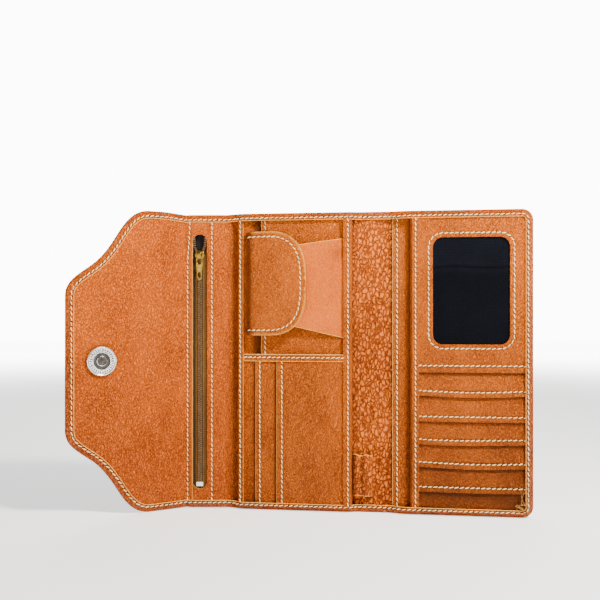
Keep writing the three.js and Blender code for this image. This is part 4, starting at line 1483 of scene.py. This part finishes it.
coin_flap = hide_sheet("coin_flap_hide", columns, coin_flap_depth, 1.3, pocket_hide, rim=0.45,
                       shade=coin_flap_shade, polish=coin_flap_polish)
bend_coin = (world(12.2, flap_mid, 7), world(17.2, flap_mid, 7))
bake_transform(coin_flap)
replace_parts(coin_flap, "coin_flap_leather", "coin_flap_lining", "coin_flap_root")
foot = [(x, z, coin_flap_depth(x, z) + 0.18) for x, z in coin_seam_line if x > 15.4]
head = [(x, 2 * flap_mid - z, depth) for x, z, depth in reversed(foot)]
coin_thread = sew("thread_coin_flap", [foot + head])
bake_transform(coin_thread)


# ---- Pen loop ------------------------------------------------------------------------------
# A short tongue of soft hide stands up in the gutter beside the binding, creased down its
# middle, with both sides let into the seams.
loop_left, loop_right, loop_low, loop_high, _, loop_front = laid_out("pen_loop")


def loop_depth(x, z):
    t = (x - loop_left) / (loop_right - loop_left)
    arch = math.sqrt(max(0, 1 - (2 * t - 1) ** 2)) ** 0.8
    crease = 1.5 * math.exp(-((t - 0.44) / 0.1) ** 2)
    return lining_top + 0.6 + (loop_front - lining_top - 0.6) * arch * (0.72 + 0.28 * t) - crease


def loop_shade(x, z):
    # Painted shade in the middle crease and on the loop's left side.
    t = (x - loop_left) / (loop_right - loop_left)
    return 0.45 * math.exp(-((t - 0.44) / 0.07) ** 2) + 0.3 * smooth(1 - t * 6)


columns = []
for x in spread(loop_left - 0.2, loop_right, 0.5):
    wavy = 0.5 * math.sin((x - loop_left) * 0.9)
    columns.append([(x, loop_low + (loop_high + wavy - loop_low) * j / 20) for j in range(21)])
pen_loop = hide_sheet("pen_loop_hide", columns, loop_depth, PLY, gutter_hide, rim=0.34,
                      shade=loop_shade)
bend_at_gutter(pen_loop)
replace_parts(pen_loop, "pen_loop")


# ---- Bill leaf and card base ---------------------------------------------------------------
# On the card side a full-height leaf makes the long note pocket, and the card slots stand on
# a base ply of their own with a rolled binding down the left.
leaf_left, _, leaf_low, leaf_high, _, leaf_front = laid_out("bill_pocket_leaf")
card_left, card_inner, _, _, _, card_front = laid_out("card_binding_left")
LEAF_SEAM = leaf_left + 3.0
CARD_SEAM = card_left + 3.4
leaf = ply("bill_leaf_hide", leaf_left, card_inner + 2, leaf_low - 1, leaf_high + 1, leaf_front, PLY,
           pocket_hide, [("x", LEAF_SEAM)], rim=0.36, shade=near_edge(card_left, 7, 0.95))
bend_at_gutter(leaf)
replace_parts(leaf, "bill_pocket_leaf")
leaf_thread = sew("thread_bill_leaf", [row(LEAF_SEAM, 185, LEAF_SEAM, 5.5, leaf_front - 0.05)])
bend_at_gutter(leaf_thread)
left, right, low, high, back, front = laid_out("card_base")
card_base = ply("card_base_hide", left, right, low, high, front, front - back, pocket_hide,
                raw=False)
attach(card_base, "card_panel")
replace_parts(card_base, "card_base")
card_bind = binding("binding_card", card_left, card_inner + 0.3, leaf_low - 1, leaf_high + 1,
                    card_front + 0.25, leaf_front - 0.2, CARD_SEAM)
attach(card_bind, "card_panel")
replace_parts(card_bind, "card_binding_left")


# ---- Card slots ----------------------------------------------------------------------------
# Six strips overlap like shingles. Each has a turned and sewn hem, stands off a little where
# cards have stretched it, and is tucked under the one above.
def shingle_depth(low, high, hem_front, tuck_back):
    def depth(x, z):
        t = (z - low) / (high - low)
        sideways = (x - card_inner) / (CARD_END - 5.3 - card_inner)
        bulge = 0.55 * math.sin(math.pi * min(max(sideways, 0), 1)) * smooth(1 - t * 1.6)
        return hem_front + (tuck_back - hem_front) * t + bulge
    return depth


slot_runs = []
for number in range(1, 7):
    node = f"card_slot_{number}"
    left, right, low, high, back, front = laid_out(node)
    hem = low + (3.2 if number < 6 else 99)
    depth = shingle_depth(low, high, front, back + PLY)
    seams = [("z", hem)] if number < 6 else []
    # Painted shade: the lower strips are darker, and more so to the right.
    painted_dimming = 0.03 + 0.016 * number ** 2 + (0.08 if number == 6 else 0)

    def shade(x, z, high=high, painted_dimming=painted_dimming):
        under = max(high - 6 - z, 0)
        # Painted shadow just under the hem of the strip above.
        tucked = 0.85 * math.exp(-(under / 1.1) ** 2) + 0.4 * math.exp(-under / 2.6)
        return min(0.97, painted_dimming + tucked + 0.2 * smooth((x - 150) / 40) * painted_dimming * 2)

    def hemline(x, low=low):
        sag = 0.5 * math.sin((x - left) / (right - left) * math.pi)
        return low - sag + 0.25 * math.sin(x / 13 + low)

    heights = spread(low, high, 1.8, [place for _, place in seams])
    columns = [[(x, z + (hemline(x) - low) * smooth((high - z) / (high - low))) for z in heights]
               for x in spread(left - 1.5, right + 1, 2.2)]
    strip = hide_sheet(f"card_strip_{number}", columns, depth, 1.0 if number < 6 else PLY,
                       pocket_hide, seams, rim=0.42, raw=False, shade=shade)
    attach(strip, "card_panel")
    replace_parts(strip, node)
    if number < 6:
        slot_runs.append([(x, z + hemline(x) - low, depth(x, z) - 0.03)
                          for x, z, _ in row(left + 0.3, hem, right + 0.5, hem, 0)])


# ---- Window panel --------------------------------------------------------------------------
# The top panel has a rounded window with a hem sewn round it, and its own lower edge is the
# first of the shingled edges.
panel_left, panel_end, panel_low, panel_high, _, panel_front = laid_out("id_window_panel")
window = (131.0, 177.6, 106.7, 173.1, 6.0)
WINDOW_SEAM = 2.7
PANEL_SEAM = panel_low + 4.3


def window_gap(x, z):
    """Distance out from the window's rounded edge."""
    left, right, low, high, corner = window
    dx = max(left + corner - x, x - right + corner, 0)
    dz = max(low + corner - z, z - high + corner, 0)
    return math.hypot(dx, dz) - corner


def panel_depth(x, z):
    gap = window_gap(x, z)
    groove = 0.34 * math.exp(-((gap - WINDOW_SEAM) / 0.55) ** 2)
    share = (x - panel_left) / (panel_end - panel_left)
    bulge = 0.4 * math.sin(math.pi * share) * smooth((106 - z) / 16)
    puff = 0.12 * math.exp(-(gap - 4.3) ** 2)
    return panel_front - 0.35 * smooth(1 - gap / 1.2) - groove + bulge + puff


def panel_shade(x, z):
    # Painted shade in the seam's groove round the window, and darker towards the bottom.
    gap = window_gap(x, z)
    return 0.7 * math.exp(-((gap - WINDOW_SEAM) / 0.5) ** 2) + 0.12 * smooth((120 - z) / 30)


columns = around(window, (panel_left - 1.5, panel_end + 1, panel_low, panel_high + 1), 16,
                 near=(0, 0.3, 0.8, 1.4, 1.9, 2.3, 2.7, 3.1, 3.5, 4.1, 5))
window_panel = hide_sheet("window_panel_hide", columns, panel_depth, 0.95, pocket_hide,
                          [("z", PANEL_SEAM)], rim=0.36, raw=False, shade=panel_shade, closed=True)
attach(window_panel, "card_panel")
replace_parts(window_panel, "id_window_panel")
left, right, low, high, corner = window
frame_run = around((left - WINDOW_SEAM, right + WINDOW_SEAM, low - WINDOW_SEAM, high + WINDOW_SEAM,
                    corner + WINDOW_SEAM), (left - 8, right + 8, low - 8, high + 8), 1)
frame_run = [(column[0][0], column[0][1], panel_front - 0.08) for column in frame_run]
slot_runs.append(frame_run + frame_run[:1])
slot_runs.append(row(panel_left + 0.3, PANEL_SEAM, panel_end + 0.5, PANEL_SEAM,
                     lambda x, z: panel_depth(x, z) - 0.02))
slot_runs.append(row(CARD_SEAM, 185, CARD_SEAM, 5.5, card_front + 0.2))
card_thread = sew("thread_cards", slot_runs)
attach(card_thread, "card_panel")


# ---- Window mesh ---------------------------------------------------------------------------
# Black woven net is stretched behind the window and sewn in with its hem. It has one soft
# wrinkle across it, where it was folded in its roll.
net = woven("window_net", 330, (0.0010, 0.0012, 0.0026), (0.0055, 0.0065, 0.012), shine=0.05)
net_left, net_right, net_low, net_high, _, net_front = laid_out("id_window_mesh")


def net_depth(x, z):
    wrinkle = z - 155.5 - 1.1 * math.sin((x - 128) / 8.5) - 0.04 * (x - 150)
    return net_front - 0.05 + 0.42 * math.exp(-(wrinkle / 1.1) ** 2) + 0.12 * smooth(wrinkle / 5)


def net_shade(x, z):
    # Painted shade along the wrinkle and below it.
    wrinkle = z - 154.4 - 1.1 * math.sin((x - 128) / 8.5) - 0.04 * (x - 150)
    return 0.7 * math.exp(-(wrinkle / 0.7) ** 2) + 0.45 * smooth(-(wrinkle + 1) / 4)


window_net = ply("window_net_cloth", net_left, net_right, net_low, net_high, net_depth, 0.25, net,
                 step=0.9, rim=0, shade=net_shade)
window_net.data.materials[1] = net
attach(window_net, "card_panel")
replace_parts(window_net, "id_window_mesh")
(net_right - net_left) * MM
(net_high - net_low) * MM


# ---- Loose thread ends ---------------------------------------------------------------------
# The border seam starts and ends in the lower corner, where the leather is gathered. The ends
# were left there in small loops, frayed and gone brown and golden.
ends = bpy.data.curves.new("thread_ends", "CURVE")
ends.dimensions = "3D"
ends.bevel_depth = 0.15 * MM
ends.bevel_resolution = 2
for number in range(5):
    strand_line = ends.splines.new("NURBS")
    strand_line.points.add(9)
    for i, point in enumerate(strand_line.points):
        turn = i * 0.95 + number * 2.3
        out = 2.6 + 2.8 * noise.noise(Vector((number * 3.1, i * 0.6, 5)))
        trail = 13 * (i / 9) ** 2 if number > 2 else 0
        x = 183.8 + (number % 3) * 1.6 + out * math.cos(turn) * (0.4 if trail > 4 else 1)
        z = 5.2 + (number % 2) * 1.8 + out * 0.8 * math.sin(turn) + trail
        point.co = (*world(x, z, 8.4 + 0.4 * math.sin(turn * 1.7)), 1)
    strand_line.use_endpoint_u = True
    strand_line.order_u = 4
loose = bpy.data.objects.new("thread_ends", ends)
bpy.context.collection.objects.link(loose)
settled = evaluated(loose)
bpy.data.objects.remove(loose)
frayed = speckled("frayed_thread", 0.7, 700, 3, (0.08, 0.025, 0.003), (0.46, 0.21, 0.03), 0.4,
                  0.0001, span=(0.35, 0.62))
thread_ends = finished("thread_ends", settled, [frayed])
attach(thread_ends, "card_panel")
